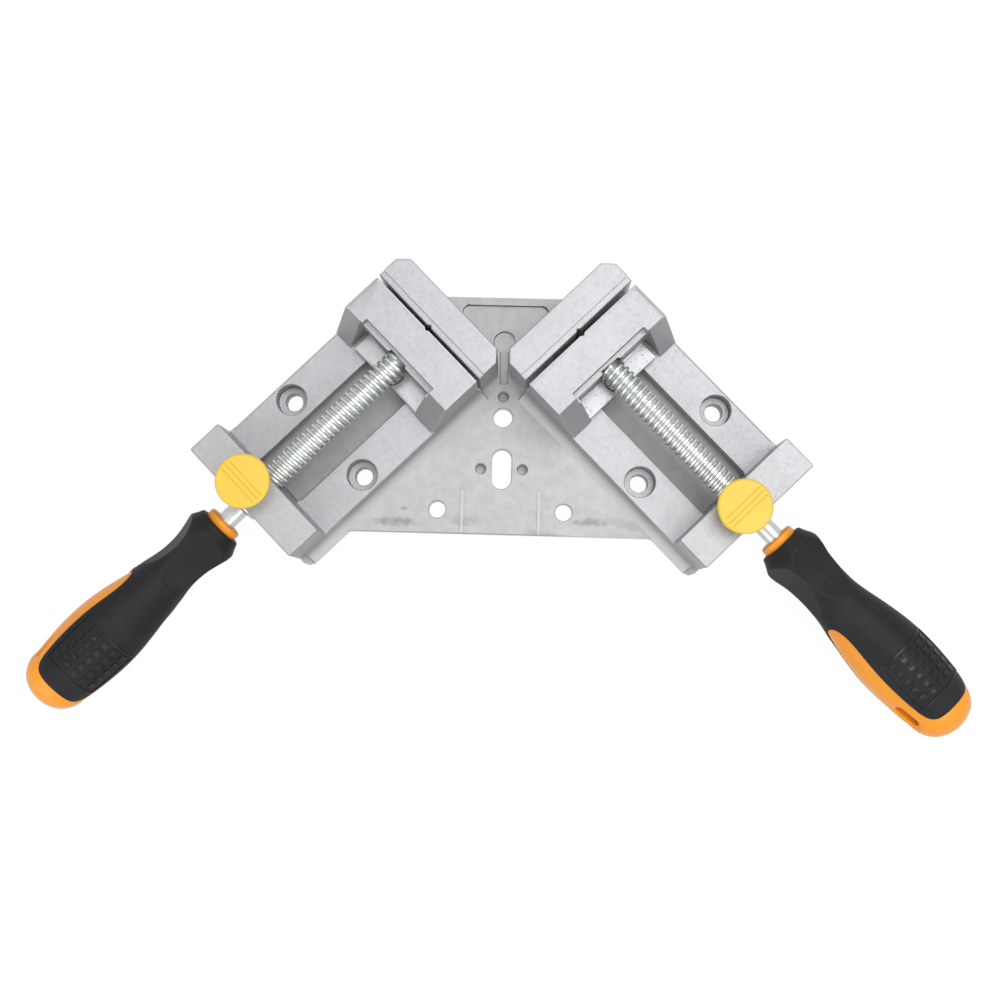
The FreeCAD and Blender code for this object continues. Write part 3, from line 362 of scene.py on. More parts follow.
def eased(piece: Piece, width: float, held: Callable[[Vector], bool]) -> Piece:
    """Round the sharp edges of a casting, but not those of its narrow steps.

    Args:
        piece: the casting.
        width: the rounding's width in millimetres.
        held: whether an edge with its middle at a place stays sharp.

    Returns:
        The same piece.
    """
    mesh = piece.data
    spots = mesh.vertices
    length = {edge.key: (spots[edge.key[0]].co - spots[edge.key[1]].co).length
              for edge in mesh.edges}
    narrow = set()
    for polygon in mesh.polygons:
        across = polygon.area / (3 * width * MM)
        narrow.update(key for key in polygon.edge_keys if length[key] > across)
    edit(piece, "EDGE")
    bpy.ops.mesh.edges_select_sharp(sharpness=math.radians(SHARP))
    bpy.ops.object.mode_set(mode="OBJECT")
    weights = mesh.attributes.new("bevel_weight_edge", "FLOAT", "EDGE")
    for edge, weight in zip(mesh.edges, weights.data):
        middle = (spots[edge.key[0]].co + spots[edge.key[1]].co) / 2
        chosen = edge.select and edge.key not in narrow and not held(middle)
        weight.value = 1.0 if chosen else 0.0
    # The rounded faces take slot 1, the painted edge material: painted shade on the base, a
    # painted highlight on the jaws.
    softened(piece, width, limit="WEIGHT", slot=1)
    edit(piece, whole=True)
    bpy.ops.mesh.remove_doubles(threshold=width * 0.04 * MM)
    bpy.ops.mesh.quads_convert_to_tris(quad_method="BEAUTY", ngon_method="BEAUTY")
    bpy.ops.object.mode_set(mode="OBJECT")
    return piece


def smooth(piece: Piece, angle: float) -> Piece:
    """Shade a piece smooth.

    Args:
        piece: the piece.
        angle: the smallest edge angle that stays sharp, in degrees.

    Returns:
        The same piece.
    """
    take(piece)
    bpy.ops.object.shade_smooth_by_angle(angle=math.radians(angle))
    return piece


def weighted(piece: Piece) -> Piece:
    """Let the large faces lead the shading of a softened piece."""
    return applied(piece, "WEIGHTED_NORMAL", {"keep_sharp": True})


def copied_from_frame(node: str, name: str) -> Piece:
    """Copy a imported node's mesh and clean it for modelling.

    Args:
        node: the node's name in the frame.
        name: the copy's name.

    Returns:
        The copy, merged and with its flat faces whole again.
    """
    take(frame["nodes"][node])
    bpy.ops.object.duplicate()
    piece = named(name)
    piece.parent = None
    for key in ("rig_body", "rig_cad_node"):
        del piece[key]
    piece.data.materials.clear()
    bpy.ops.mesh.customdata_custom_splitnormals_clear()
    edit(piece, whole=True)
    bpy.ops.mesh.remove_doubles(threshold=0.002 * MM)
    bpy.ops.mesh.dissolve_limited(angle_limit=math.radians(0.6))
    bpy.ops.object.mode_set(mode="OBJECT")
    return piece


def settled(piece: Piece, body: str, node: str) -> Piece:
    """Give a finished piece to its body and the node it stands for.

    Args:
        piece: the finished piece.
        body: the body it moves with.
        node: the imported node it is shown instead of.

    Returns:
        The same piece.
    """
    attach(piece, body)
    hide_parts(node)
    log.info("%s: %d faces", piece.name, len(piece.data.polygons))
    return piece


def curve_through(controls: Outline, count: int) -> List[Spot]:
    """Return evenly spaced points of a clamped cubic B-spline.

    Args:
        controls: the spline's control points.
        count: how many points are wanted.

    Returns:
        The points, from the first control point to the last.
    """
    degree = 3
    spans = len(controls) - degree
    knots = [0.0] * degree + [float(k) for k in range(spans + 1)] + [float(spans)] * degree

    def at(t: float) -> Vector:
        """Find the spline's point at a parameter.

        Args:
            t: the parameter, from 0 to the number of spans.

        Returns:
            The point.
        """
        k = min(int(t), spans - 1) + degree
        row = [Vector(controls[j + k - degree]) for j in range(degree + 1)]
        for r in range(1, degree + 1):
            for j in range(degree, r - 1, -1):
                low = knots[j + k - degree]
                share = (t - low) / (knots[j + 1 + k - r] - low)
                row[j] = row[j - 1].lerp(row[j], share)
        return row[degree]

    pieces = count * 8
    fine = [at(spans * i / pieces) for i in range(pieces + 1)]
    reach = [0.0]
    for first, second in zip(fine, fine[1:]):
        reach.append(reach[-1] + (second - first).length)
    points, i = [], 0
    for step in range(count):
        goal = reach[-1] * step / (count - 1)
        while i < len(fine) - 2 and reach[i + 1] < goal:
            i += 1
        share = (goal - reach[i]) / (reach[i + 1] - reach[i])
        spot = fine[i].lerp(fine[i + 1], min(share, 1.0))
        points.append((spot.x, spot.y))
    return points


def height_at(line: Outline, x: float, past: float) -> float:
    """Read a line of points at a place along it.

    Args:
        line: the points, from low x to high x.
        x: the place.
        past: the height where the line doesn't reach.

    Returns:
        The line's height there.
    """
    for (x0, y0), (x1, y1) in zip(line, line[1:]):
        if x0 <= x <= x1 and x1 > x0:
            return y0 + (y1 - y0) * (x - x0) / (x1 - x0)
    return past


def ease(value: float) -> float:
    """Return a smooth step of a value held between 0 and 1."""
    value = min(max(value, 0.0), 1.0)
    return value * value * (3 - 2 * value)


# Finishes

class Wire:
    """A node's socket whose operators add Math nodes."""

    def __init__(self, paint: "Paint", socket: bpy.types.NodeSocket) -> None:
        """Keep the socket and the paint it belongs to."""
        self.paint = paint
        self.socket = socket

    def _math(self, operation: str, first: "Value", second: "Value") -> "Wire":
        """Add one Math node."""
        settings = {"operation": operation}
        return self.paint.node("ShaderNodeMath", settings, {0: first, 1: second})

    def __add__(self, other: "Value") -> "Wire":
        """Add."""
        return self._math("ADD", self, other)

    __radd__ = __add__

    def __sub__(self, other: "Value") -> "Wire":
        """Subtract."""
        return self._math("SUBTRACT", self, other)

    def __rsub__(self, other: "Value") -> "Wire":
        """Subtract from a number."""
        return self._math("SUBTRACT", other, self)

    def __mul__(self, other: "Value") -> "Wire":
        """Multiply."""
        return self._math("MULTIPLY", self, other)

    __rmul__ = __mul__

    def __truediv__(self, other: "Value") -> "Wire":
        """Divide."""
        return self._math("DIVIDE", self, other)

    def __pow__(self, other: "Value") -> "Wire":
        """Raise to a power."""
        return self._math("POWER", self, other)

    def ramp(self, low: float, high: float) -> "Wire":
        """Step smoothly from 0 at one value to 1 at another, which may be the lower.

        Args:
            low: the value that gives 0.
            high: the value that gives 1.

        Returns:
            The step's wire.
        """
        settings = {"interpolation_type": "SMOOTHSTEP"}
        flip = high < low
        values = {"Value": self, "From Min": min(low, high), "From Max": max(low, high)}
        values.update({"To Min": 1.0 if flip else 0.0, "To Max": 0.0 if flip else 1.0})
        return self.paint.node("ShaderNodeMapRange", settings, values)


Value = Union[float, Wire]


class Paint:
    """A material or a world in the making."""

    def __init__(self, name: str, is_world: bool = False) -> None:
        """Start a material or a world with an empty node tree.

        Args:
            name: its name.
            is_world: whether it is a world.
        """
        kind = bpy.data.worlds if is_world else bpy.data.materials
        self.owner = kind.new(name)
        self.owner.use_nodes = True
        self.tree = self.owner.node_tree
        self.tree.nodes.clear()

    def node(self, kind: str, settings: Settings, values: Settings,
             output: Union[int, str] = 0) -> Wire:
        """Add any node.

        Args:
            kind: the node's type.
            settings: its settings, by name.
            values: numbers, colours or wires for its sockets, by name or index.
            output: the output that is wanted.

        Returns:
            The wire from that output.
        """
        made = self.tree.nodes.new(kind)
        for name, value in settings.items():
            setattr(made, name, value)
        for name, value in values.items():
            if isinstance(value, Wire):
                self.tree.links.new(value.socket, made.inputs[name])
            else:
                made.inputs[name].default_value = value
        return Wire(self, made.outputs[output])

    def spot(self, output: str = "Object") -> Wire:
        """Return the piece's own coordinates, or its normal."""
        return self.node("ShaderNodeTexCoord", {}, {}, output)

    def parts(self, vector: Wire) -> Tuple[Wire, Wire, Wire]:
        """Split a vector.

        Args:
            vector: the vector's wire.

        Returns:
            The wires of x, y and z.
        """
        first = self.node("ShaderNodeSeparateXYZ", {}, {0: vector})
        outs = first.socket.node.outputs
        return first, Wire(self, outs[1]), Wire(self, outs[2])

    def turned(self, angle: float, scale: Point) -> Wire:
        """Turn the piece's own coordinates about Z and then scale them.

        Args:
            angle: the turn, in degrees.
            scale: the scale along each axis after the turn.

        Returns:
            The coordinates' wire.
        """
        turn = {"Vector": self.spot(), "Rotation": (0, 0, math.radians(angle))}
        about = self.node("ShaderNodeMapping", {}, turn)
        return self.node("ShaderNodeMapping", {}, {"Vector": about, "Scale": scale})

    def noise(self, scale: float, detail: float = 2.0, at: Union[Wire, None] = None) -> Wire:
        """Return noise whose grains are about 1 / scale metres wide."""
        values = {"Vector": at or self.spot(), "Scale": scale, "Detail": detail}
        return self.node("ShaderNodeTexNoise", {}, values)

    def mix(self, first: Union[Colour, Wire], second: Union[Colour, Wire], share: Value) -> Wire:
        """Mix two colours.

        Args:
            first: the colour where the share is 0.
            second: the colour where it is 1.
            share: how much of the second is mixed in.

        Returns:
            The mixed colour's wire.
        """
        both = [c if isinstance(c, Wire) else (*c, 1.0) for c in (first, second)]
        values = {0: share, 6: both[0], 7: both[1]}
        return self.node("ShaderNodeMix", {"data_type": "RGBA"}, values, 2)

    def bump(self, height: Wire, depth: float) -> Wire:
        """Return a normal bumped by a height field that is depth millimetres high."""
        values = {"Height": height, "Distance": depth * MM, "Strength": 1.0}
        return self.node("ShaderNodeBump", {}, values)

    def done(self, values: Settings) -> bpy.types.Material:
        """Close the material with a Principled shader of these values."""
        return self.closed(self.node("ShaderNodeBsdfPrincipled", {}, values))

    def closed(self, shader: Wire) -> Union[bpy.types.Material, bpy.types.World]:
        """Lead a shader to the surface of the material or the world.

        Args:
            shader: the shader's wire.

        Returns:
            The finished material or world.
        """
        out = self.tree.nodes.new("ShaderNodeOutput" + type(self.owner).__name__)
        self.tree.links.new(shader.socket, out.inputs["Surface"])
        return self.owner


def shaded(colour: Colour, share: float) -> Colour:
    """Return a colour made darker or lighter by a share."""
    return tuple(part * share for part in colour)


@dataclass(frozen=True)
class CastAluminium:
    """Tumbled die casting with painted shade on its sides and slopes, and a duller and marked
    plate at the bottom if it has one, with painted light on its ribs and on the flanks over it.
    """

    name: str
    light: Colour = (0.485, 0.487, 0.505)
    dark: Colour = (0.405, 0.408, 0.425)
    plate: Colour = (0.49, 0.488, 0.495)
    smudge: Colour = (0.17, 0.17, 0.19)
    steep_shade: float = 0.62
    foot_glow: float = 1.35
    rib_glow: float = 1.06
    metallic: float = 0.22
    skin_depth: float = 0.045
    foot_top: float = 17.6 * MM
    plate_top: float = 6.4 * MM
    rib_foot: float = 5.2 * MM
    near_edge: float = -46.6 * MM
    smeared: float = 14 * MM
    stains: Tuple[Tuple[Spot, Spot], ...] = (
        ((-41.0, -42.4), (9.0, 2.2)), ((35.5, -40.8), (8.0, 2.0)), ((-38.5, -37.1), (2.2, 1.0)))

    def material(self, has_plate: bool) -> bpy.types.Material:
        """Make the material.

        Args:
            has_plate: whether low faces get the plate's marked skin.

        Returns:
            The material.
        """
        paint = Paint(self.name)
        cloud = paint.noise(70.0, 3.0)
        grain = paint.noise(1500.0, 2.0)
        dimple = paint.noise(420.0, 1.0)
        pits = paint.noise(900.0, 1.0).ramp(0.68, 0.74)
        mix = cloud.ramp(0.35, 0.68) * 0.25 + paint.noise(650.0, 3.0).ramp(0.3, 0.7) * 0.55
        colour = paint.mix(paint.mix(self.light, self.dark, mix), self.dark, pits * 0.8)
        rough = 0.36 + cloud * 0.05 + grain * 0.06 + pits * 0.1
        x, y, z = paint.parts(paint.spot())
        up = paint.parts(paint.spot("Normal"))[2]
        # Painted shade: sides and slopes are painted darker, standing in for the shade they lie
        # in.
        painted_steep_shade_mask = up.ramp(0.85, 0.2) * 0.75
        colour = paint.mix(colour, shaded(self.dark, self.steep_shade), painted_steep_shade_mask)
        if has_plate:
            # Painted light: the arms' flanks over the plate are painted lighter low down, towards
            # the plate, standing in for light caught where each flank rounds into it.
            inside = ((x * x) ** 0.5 + y).ramp(21 * MM, 17 * MM)
            painted_foot_light_mask = inside * z.ramp(11 * MM, 5.5 * MM)
            low = z.ramp(self.plate_top, self.plate_top - 0.8 * MM) * up.ramp(0.5, 0.9)
            smear = self.smears(paint) * y.ramp(self.near_edge + self.smeared, self.near_edge)
            colour = paint.mix(colour, shaded(self.plate, self.foot_glow), painted_foot_light_mask)
            colour = paint.mix(colour, self.plate_skin(paint, x, y, z, smear), low)
            rough = rough + low * (0.10 + smear * 0.12)
        else:
            rough = rough - z.ramp(self.foot_top, self.foot_top - 0.4 * MM) * 0.18
        height = grain * 0.25 + dimple * 0.6 - pits * 0.8
        return paint.done({"Base Color": colour, "Metallic": self.metallic,
                           "Roughness": rough, "Normal": paint.bump(height, self.skin_depth)})

    def plate_skin(self, paint: Paint, x: Wire, y: Wire, z: Wire, smear: Wire) -> Wire:
        """Paint the plate: mottled, smeared, stained, scratched, and with a painted highlight on
        its raised ribs.

        Args:
            paint: the material in the making.
            x: the place across the plate.
            y: the place towards the corner.
            z: the height over the bench.
            smear: where the plate is smeared.

        Returns:
            The plate's colour.
        """
        mottle = paint.noise(260.0, 4.0).ramp(0.3, 0.7)
        skin = paint.mix(self.plate, shaded(self.plate, 0.9), mottle)
        skin = paint.mix(skin, self.smudge, smear * 0.3)
        for spot, size in self.stains:
            skin = paint.mix(skin, self.smudge, self.stain(paint, x, y, spot, size) * 0.6)
        skin = paint.mix(skin, self.light, self.scratches(paint) * 0.35)
        # Painted highlight: the plate's raised ribs are painted brighter than the plate around
        # them.
        painted_rib_highlight_mask = z.ramp(self.rib_foot, self.rib_foot + 0.3 * MM)
        return paint.mix(skin, shaded(self.plate, self.rib_glow), painted_rib_highlight_mask)

    def smears(self, paint: Paint) -> Wire:
        """Return long smears across the plate."""
        return paint.noise(1.0, 4.0, paint.turned(8.0, (38.0, 160.0, 60.0))).ramp(0.52, 0.70)

    def stain(self, paint: Paint, x: Wire, y: Wire, spot: Spot, size: Spot) -> Wire:
        """Return an oval smudge with a ragged rim.

        Args:
            paint: the material in the making.
            x: the place across the plate.
            y: the place towards the corner.
            spot: the smudge's middle, in millimetres.
            size: its half length and half width, in millimetres.

        Returns:
            The smudge's share, from 0 to 1.
        """
        along = (x - spot[0] * MM) / (size[0] * MM)
        across = (y - spot[1] * MM) / (size[1] * MM)
        ragged = paint.noise(420.0, 4.0) * 2.4
        return (along * along + across * across + ragged).ramp(2.4, 1.0)

    def scratches(self, paint: Paint) -> Wire:
        """Return fine bright scratches in two directions.

        Args:
            paint: the material in the making.

        Returns:
            The scratches' share, from 0 to 1.
        """
        first = paint.noise(1.0, 2.0, paint.turned(35.0, (90.0, 2200.0, 200.0)))
        second = paint.noise(1.0, 2.0, paint.turned(-62.0, (70.0, 1900.0, 200.0)))
        where = paint.noise(55.0, 1.0).ramp(0.48, 0.62)
        return (first.ramp(0.70, 0.74) + second.ramp(0.71, 0.75)) * where


@dataclass(frozen=True)
class Milled:
    """Machined aluminium faces with fine upright tool marks."""

    name: str
    colour: Colour = (0.60, 0.61, 0.63)
    turn: float = 45.0
    cuts: Point = (3200.0, 3200.0, 18.0)

    def material(self) -> bpy.types.Material:
        """Make the material.

        Returns:
            The material.
        """
        paint = Paint(self.name)
        lines = paint.noise(1.0, 2.0, paint.turned(self.turn, self.cuts))
        cloud = paint.noise(90.0, 2.0)
        colour = paint.mix(self.colour, shaded(self.colour, 0.86), lines)
        return paint.done({"Base Color": colour, "Metallic": 0.4,
                           "Roughness": 0.26 + cloud * 0.16,
                           "Normal": paint.bump(lines, 0.02)})


@dataclass(frozen=True)
class Metal:
    """A turned or plated steel or brass finish."""

    name: str
    colour: Colour
    shade: Colour
    roughness: float
    metallic: float = 0.8
    patch: float = 160.0

    def material(self) -> bpy.types.Material:
        """Make the material.

        Returns:
            The material.
        """
        paint = Paint(self.name)
        cloud = paint.noise(self.patch, 3.0)
        fine = paint.noise(2600.0, 2.0)
        colour = paint.mix(self.colour, self.shade, cloud.ramp(0.35, 0.7))
        rough = self.roughness + cloud * 0.10
        return paint.done({"Base Color": colour, "Metallic": self.metallic,
                           "Roughness": rough, "Normal": paint.bump(fine, 0.006)})


@dataclass(frozen=True)
class Plastic:
    """A moulded plastic with a faint skin."""

    name: str
    colour: Colour
    shade: Colour
    roughness: float
    grain: float = 1200.0
    depth: float = 0.006

    def material(self) -> bpy.types.Material:
        """Make the material.

        Returns:
            The material.
        """
        paint = Paint(self.name)
        cloud = paint.noise(45.0, 2.0)
        fine = paint.noise(self.grain, 2.0)
        colour = paint.mix(self.colour, self.shade, cloud.ramp(0.3, 0.75))
        rough = self.roughness + fine * 0.06 + cloud * 0.06
        return paint.done({"Base Color": colour, "Roughness": rough,
                           "Normal": paint.bump(fine, self.depth)})


@dataclass(frozen=True)
class GripRubber:
    """Soft black skin with an even spark-eroded grain and dusty high spots."""

    name: str = "grip_rubber_skin"
    colour: Colour = (0.010, 0.010, 0.012)
    worn: Colour = (0.020, 0.020, 0.022)
    roughness: float = 0.50
    specular: float = 0.22

    def material(self) -> bpy.types.Material:
        """Make the material.

        Returns:
            The material.
        """
        paint = Paint(self.name)
        grain = paint.noise(2400.0, 2.0)
        cloud = paint.noise(60.0, 3.0)
        colour = paint.mix(self.colour, self.worn, cloud.ramp(0.4, 0.75) * 0.8 + grain * 0.1)
        rough = self.roughness + cloud * 0.12
        return paint.done({"Base Color": colour, "Roughness": rough,
                           "Specular IOR Level": self.specular,
                           "Normal": paint.bump(grain, 0.02)})


class Finishes:
    """Every finish of the clamp, each made once."""

    def __init__(self) -> None:
        """Make the materials."""
        self.casting = CastAluminium("casting_skin").material(True)
        self.jaw = CastAluminium("jaw_skin").material(False)
        # Painted shade: a darker copy of the casting's material for the base's rounded edges.
        self.trim = CastAluminium("casting_edges_painted_shade", (0.33, 0.333, 0.345),
                                  (0.27, 0.273, 0.285)).material(False)
        # Painted highlight: a lighter copy of the casting's material for the jaws' rounded edges.
        self.shine = CastAluminium("jaw_edges_painted_highlight", (0.58, 0.582, 0.60),
                                   (0.50, 0.502, 0.52)).material(False)
        self.milled = Milled("milled_face").material()
        self.zinc = Metal("bright_zinc", (0.60, 0.62, 0.62), (0.50, 0.52, 0.50), 0.22).material()
        self.steel = Metal("plain_steel", (0.48, 0.49, 0.51), (0.38, 0.39, 0.41), 0.34).material()
        self.brass = Metal("nut_brass", (0.62, 0.47, 0.20), (0.52, 0.38, 0.15), 0.30).material()
        self.yellow = Plastic("button_yellow", (0.91, 0.63, 0.080), (0.89, 0.60, 0.070),
                              0.42).material()
        self.orange = Plastic("core_orange", (1.0, 0.365, 0.013), (0.99, 0.34, 0.010),
                              0.30).material()
        self.rubber = GripRubber().material()
        self.marks = GripRubber("grip_marks", (0.006, 0.006, 0.007), (0.010, 0.010, 0.011),
                                0.22, 0.30).material()


def dressed(piece: Piece, finish: bpy.types.Material) -> Piece:
    """Give a piece one finish all over.

    Args:
        piece: the piece.
        finish: its material.

    Returns:
        The same piece.
    """
    if piece.material_slots:
        for slot in piece.material_slots:
            slot.material = finish
    else:
        piece.data.materials.append(finish)
    return piece


# Pieces

@dataclass
class Castings:
    """The base casting and the two movable jaws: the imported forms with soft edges."""

    finishes: Finishes
    edge: float = 0.4
    face_height: float = 14.0 * MM
    plate_top: float = 5.0 * MM
    ledge_across: float = 28.3 * MM
    ledge_along: float = 94.0 * MM
    relief_half: float = 3.0 * MM
    relief_start: float = 12.0 * MM
    strip_top: float = 13.8 * MM
    block_near: float = 81.5 * MM
    foot_lines: Spot = (-33.0 * MM, -27.0 * MM)
    fixed_end: float = 27.7 * MM

    def build(self) -> None:
        """Build and place the base and both jaws."""
        base = self.rounded("base_casting", "clamp_base", self.finishes.casting,
                            self.finishes.trim)
        settled(base, "frame", "base_casting")
        for side in Side:
            self.mill(base, side, -JAW_SET_BACK)
            jaw = self.rounded(side.own("movable_jaw"), side.own("jaw"), self.finishes.jaw,
                               self.finishes.shine)
            self.mill(jaw, side, side.jaw_face)
            settled(jaw, side.own("jaw"), side.own("movable_jaw"))

    def rounded(self, node: str, name: str, skin: bpy.types.Material,
                edges: bpy.types.Material) -> Piece:
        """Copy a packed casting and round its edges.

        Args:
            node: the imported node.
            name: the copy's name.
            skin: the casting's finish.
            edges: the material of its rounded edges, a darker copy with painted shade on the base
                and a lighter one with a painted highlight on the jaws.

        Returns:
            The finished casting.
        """
        piece = copied_from_frame(node, name)
        for finish in (skin, edges):
            piece.data.materials.append(finish)
        return weighted(smooth(eased(piece, self.edge, self.on_ledge), 32.0))

    def on_ledge(self, spot: Vector) -> bool:
        """Find the ledges that are too narrow for rounded edges.

        Args:
            spot: a place on the casting.

        Returns:
            Whether it lies on such a ledge.
        """
        low = abs(spot.z - self.plate_top) < SNUG
        high = abs(spot.z - self.strip_top) < SNUG
        if low and abs(spot.x) < self.relief_half and spot.y > self.relief_start:
            return True
        for side in Side:
            along, across, _ = side.bed().inverted() @ spot
            out = across * side.way
            if low and (out > self.ledge_across or along > self.ledge_along):
                return True
            if low and self.foot_lines[0] < out < self.foot_lines[1]:
                return True
            if high and along > self.block_near and out > -self.ledge_across:
                return True
            if abs(along + JAW_SET_BACK) < SNUG and out > self.fixed_end:
                return True
        return False

    def mill(self, piece: Piece, side: Side, face: float) -> None:
        """Give the clamping face of one arm its machined finish.

        Args:
            piece: the casting.
            side: the arm whose face it is.
            face: where the face lies along the arm, in metres.
        """
        if self.finishes.milled.name not in piece.data.materials:
            piece.data.materials.append(self.finishes.milled)
        number = piece.data.materials.find(self.finishes.milled.name)
        home = side.bed().inverted()
        for polygon in piece.data.polygons:
            spot = home @ polygon.center
            turned = home.to_3x3() @ polygon.normal
            flat = abs(turned.x) > 0.98 and abs(spot.x - face) < SNUG
            if flat and spot.z > self.face_height:
                polygon.material_index = number


@dataclass
class LeadScrew:
    """Zinc plated lead screw: nose, rolled thread and plain shank, in millimetres."""

    finishes: Finishes
    nose_tip: float = 8.0
    nose: float = 3.9
    groove_start: float = 9.8
    groove_end: float = 12.4
    groove: float = 2.7
    thread_start: float = 15.2
    thread_end: float = 94.8
    root: float = 4.2
    crest: float = 5.2
    pitch: float = 2.5
    shank: float = 3.7
    shank_end: float = 137.4
    round_steps: int = 48
    turn_steps: int = 36

    def build(self) -> None:
        """Build one screw and lay a copy on each arm."""
        whole = joined([self.core(), self.thread()], "lead_screw_master")
        dressed(smooth(whole, 40.0), self.finishes.zinc)
        for side in Side:
            screw = twin(whole, side.own("screw"), side.bed(side.jaw_face, SCREW_AXIS))
            settled(screw, side.own("screw"), side.own("lead_screw"))
        bpy.data.objects.remove(whole)

    def core(self) -> Piece:
        """Turn the screw without its thread.

        Returns:
            The closed core.
        """
        soft = 0.4
        outline = [
            (self.nose_tip, 0), (self.nose_tip, self.nose - 0.6), (self.nose_tip + 0.6, self.nose),
            (self.groove_start, self.nose), (self.groove_start, self.groove),
            (self.groove_end, self.groove), (self.groove_end, self.nose),
            (self.thread_start - soft, self.nose), (self.thread_start, self.root),
            (self.thread_end, self.root), (self.thread_end + soft, self.shank),
            (self.shank_end, self.shank), (self.shank_end, 0),
        ]
        return lathe("screw_core", outline, self.round_steps)

    def thread(self) -> Piece:
        """Wind the thread's ridge as one closed coil.

        Returns:
            The coil.
        """
        half, top, low = 0.92, self.crest, self.root - 0.4
        ridge = [(-half, self.root), (-0.62, top - 0.2), (-0.45, top), (0.45, top),
                 (0.62, top - 0.2), (half, self.root), (half, low), (-half, low)]
        start = self.thread_start + half
        turns = int((self.thread_end - self.thread_start - 2 * half) / self.pitch)
        points = [((start + x) * MM, 0, r * MM) for x, r in ridge]
        coil = traced("screw_thread", points + points[:1])
        bpy.ops.mesh.remove_doubles(threshold=0.001 * MM)
        applied(coil, "SCREW", {
            "axis": "X", "angle": FULL_TURN, "screw_offset": self.pitch * MM,
            "iterations": turns, "steps": self.turn_steps, "render_steps": self.turn_steps,
            "use_merge_vertices": False})
        edit(coil, whole=True)
        bpy.ops.mesh.fill_holes(sides=len(ridge))
        closed_up()
        return coil


@dataclass
class ReleaseButton:
    """Round yellow disc with a hub, a soft rim and three grooves, in millimetres."""

    finishes: Finishes
    radius: float = 10.2
    high: float = 6.4
    thick: float = 3.0
    hub: float = 4.3
    across: float = -3.1
    bore: float = 2.55
    bore_deep: float = 4.4
    stem_across: float = -8.6
    groove_pitch: float = 1.95
    groove_offset: float = 0.4
    groove_wide: float = 0.62
    groove_deep: float = 0.4
    groove_short: float = 1.3

    def build(self) -> None:
        """Build one button and lay a copy on each arm."""
        master = self.disc()
        for index in (-1, 0, 1):
            along = self.groove_offset + self.groove_pitch * index
            reach = math.sqrt(self.radius ** 2 - along ** 2) - self.groove_short
            combine(master, self.groove(along, reach), Cut.AWAY)
        hole = lathe("button_bore", [(-1, 0), (-1, self.bore), (self.bore_deep, self.bore),
                                     (self.bore_deep, 0)], 32)
        hole.data.transform(self.over_stem())
        combine(master, hole, Cut.AWAY)
        dressed(weighted(smooth(master, 32.0)), self.finishes.yellow)
        for side in Side:
            bed = side.bed(BLOCK_MIDDLE, BUTTON_FOOT)
            place = bed @ Matrix.Translation((0, self.across * MM, 0))
            button = twin(master, side.own("button_cap"), place)
            settled(button, side.own("button"), side.own("release_button"))
        bpy.data.objects.remove(master)

    def over_stem(self) -> Matrix:
        """Return the matrix that stands a turned form over the half nut's stem."""
        shift = Matrix.Translation((0, (self.stem_across - self.across) * MM, 0))
        return shift @ Matrix.Rotation(-math.pi / 2, 4, "Y")

    def disc(self) -> Piece:
        """Turn the disc and its hub, with their axes upright.

        Returns:
            The two as one piece.
        """
        top, low, rim = self.high - 0.06, self.high - self.thick, 1.1
        outline = [(low, 0), (low, self.radius - 0.9), (low + 0.5, self.radius - 0.2)]
        for i in range(7):
            turn = math.pi / 2 * i / 6
            outline.append((top - rim + rim * math.sin(turn),
                            self.radius - rim + rim * math.cos(turn)))
        disc = lathe("button_master", outline + [(top, 0)], 96)
        disc.data.transform(Matrix.Rotation(-math.pi / 2, 4, "Y"))
        hub = lathe("button_hub", [(0, 0), (0, self.hub - 0.3), (0.3, self.hub),
                                   (low + 0.5, self.hub), (low + 0.5, 0)], 48)
        hub.data.transform(self.over_stem())
        return combine(disc, hub, Cut.JOINED)

    def groove(self, along: float, reach: float) -> Piece:
        """Make the cutter of one groove, which narrows towards its floor.

        Args:
            along: the groove's place along the arm, in millimetres.
            reach: half its length.

        Returns:
            The cutter.
        """
        half, top = self.groove_wide, self.high + self.groove_deep
        shape = [(along - half, top), (along, self.high - self.groove_deep),
                 (along + half, top)]
        return slab("button_groove", shape, reach * 2, "Y")


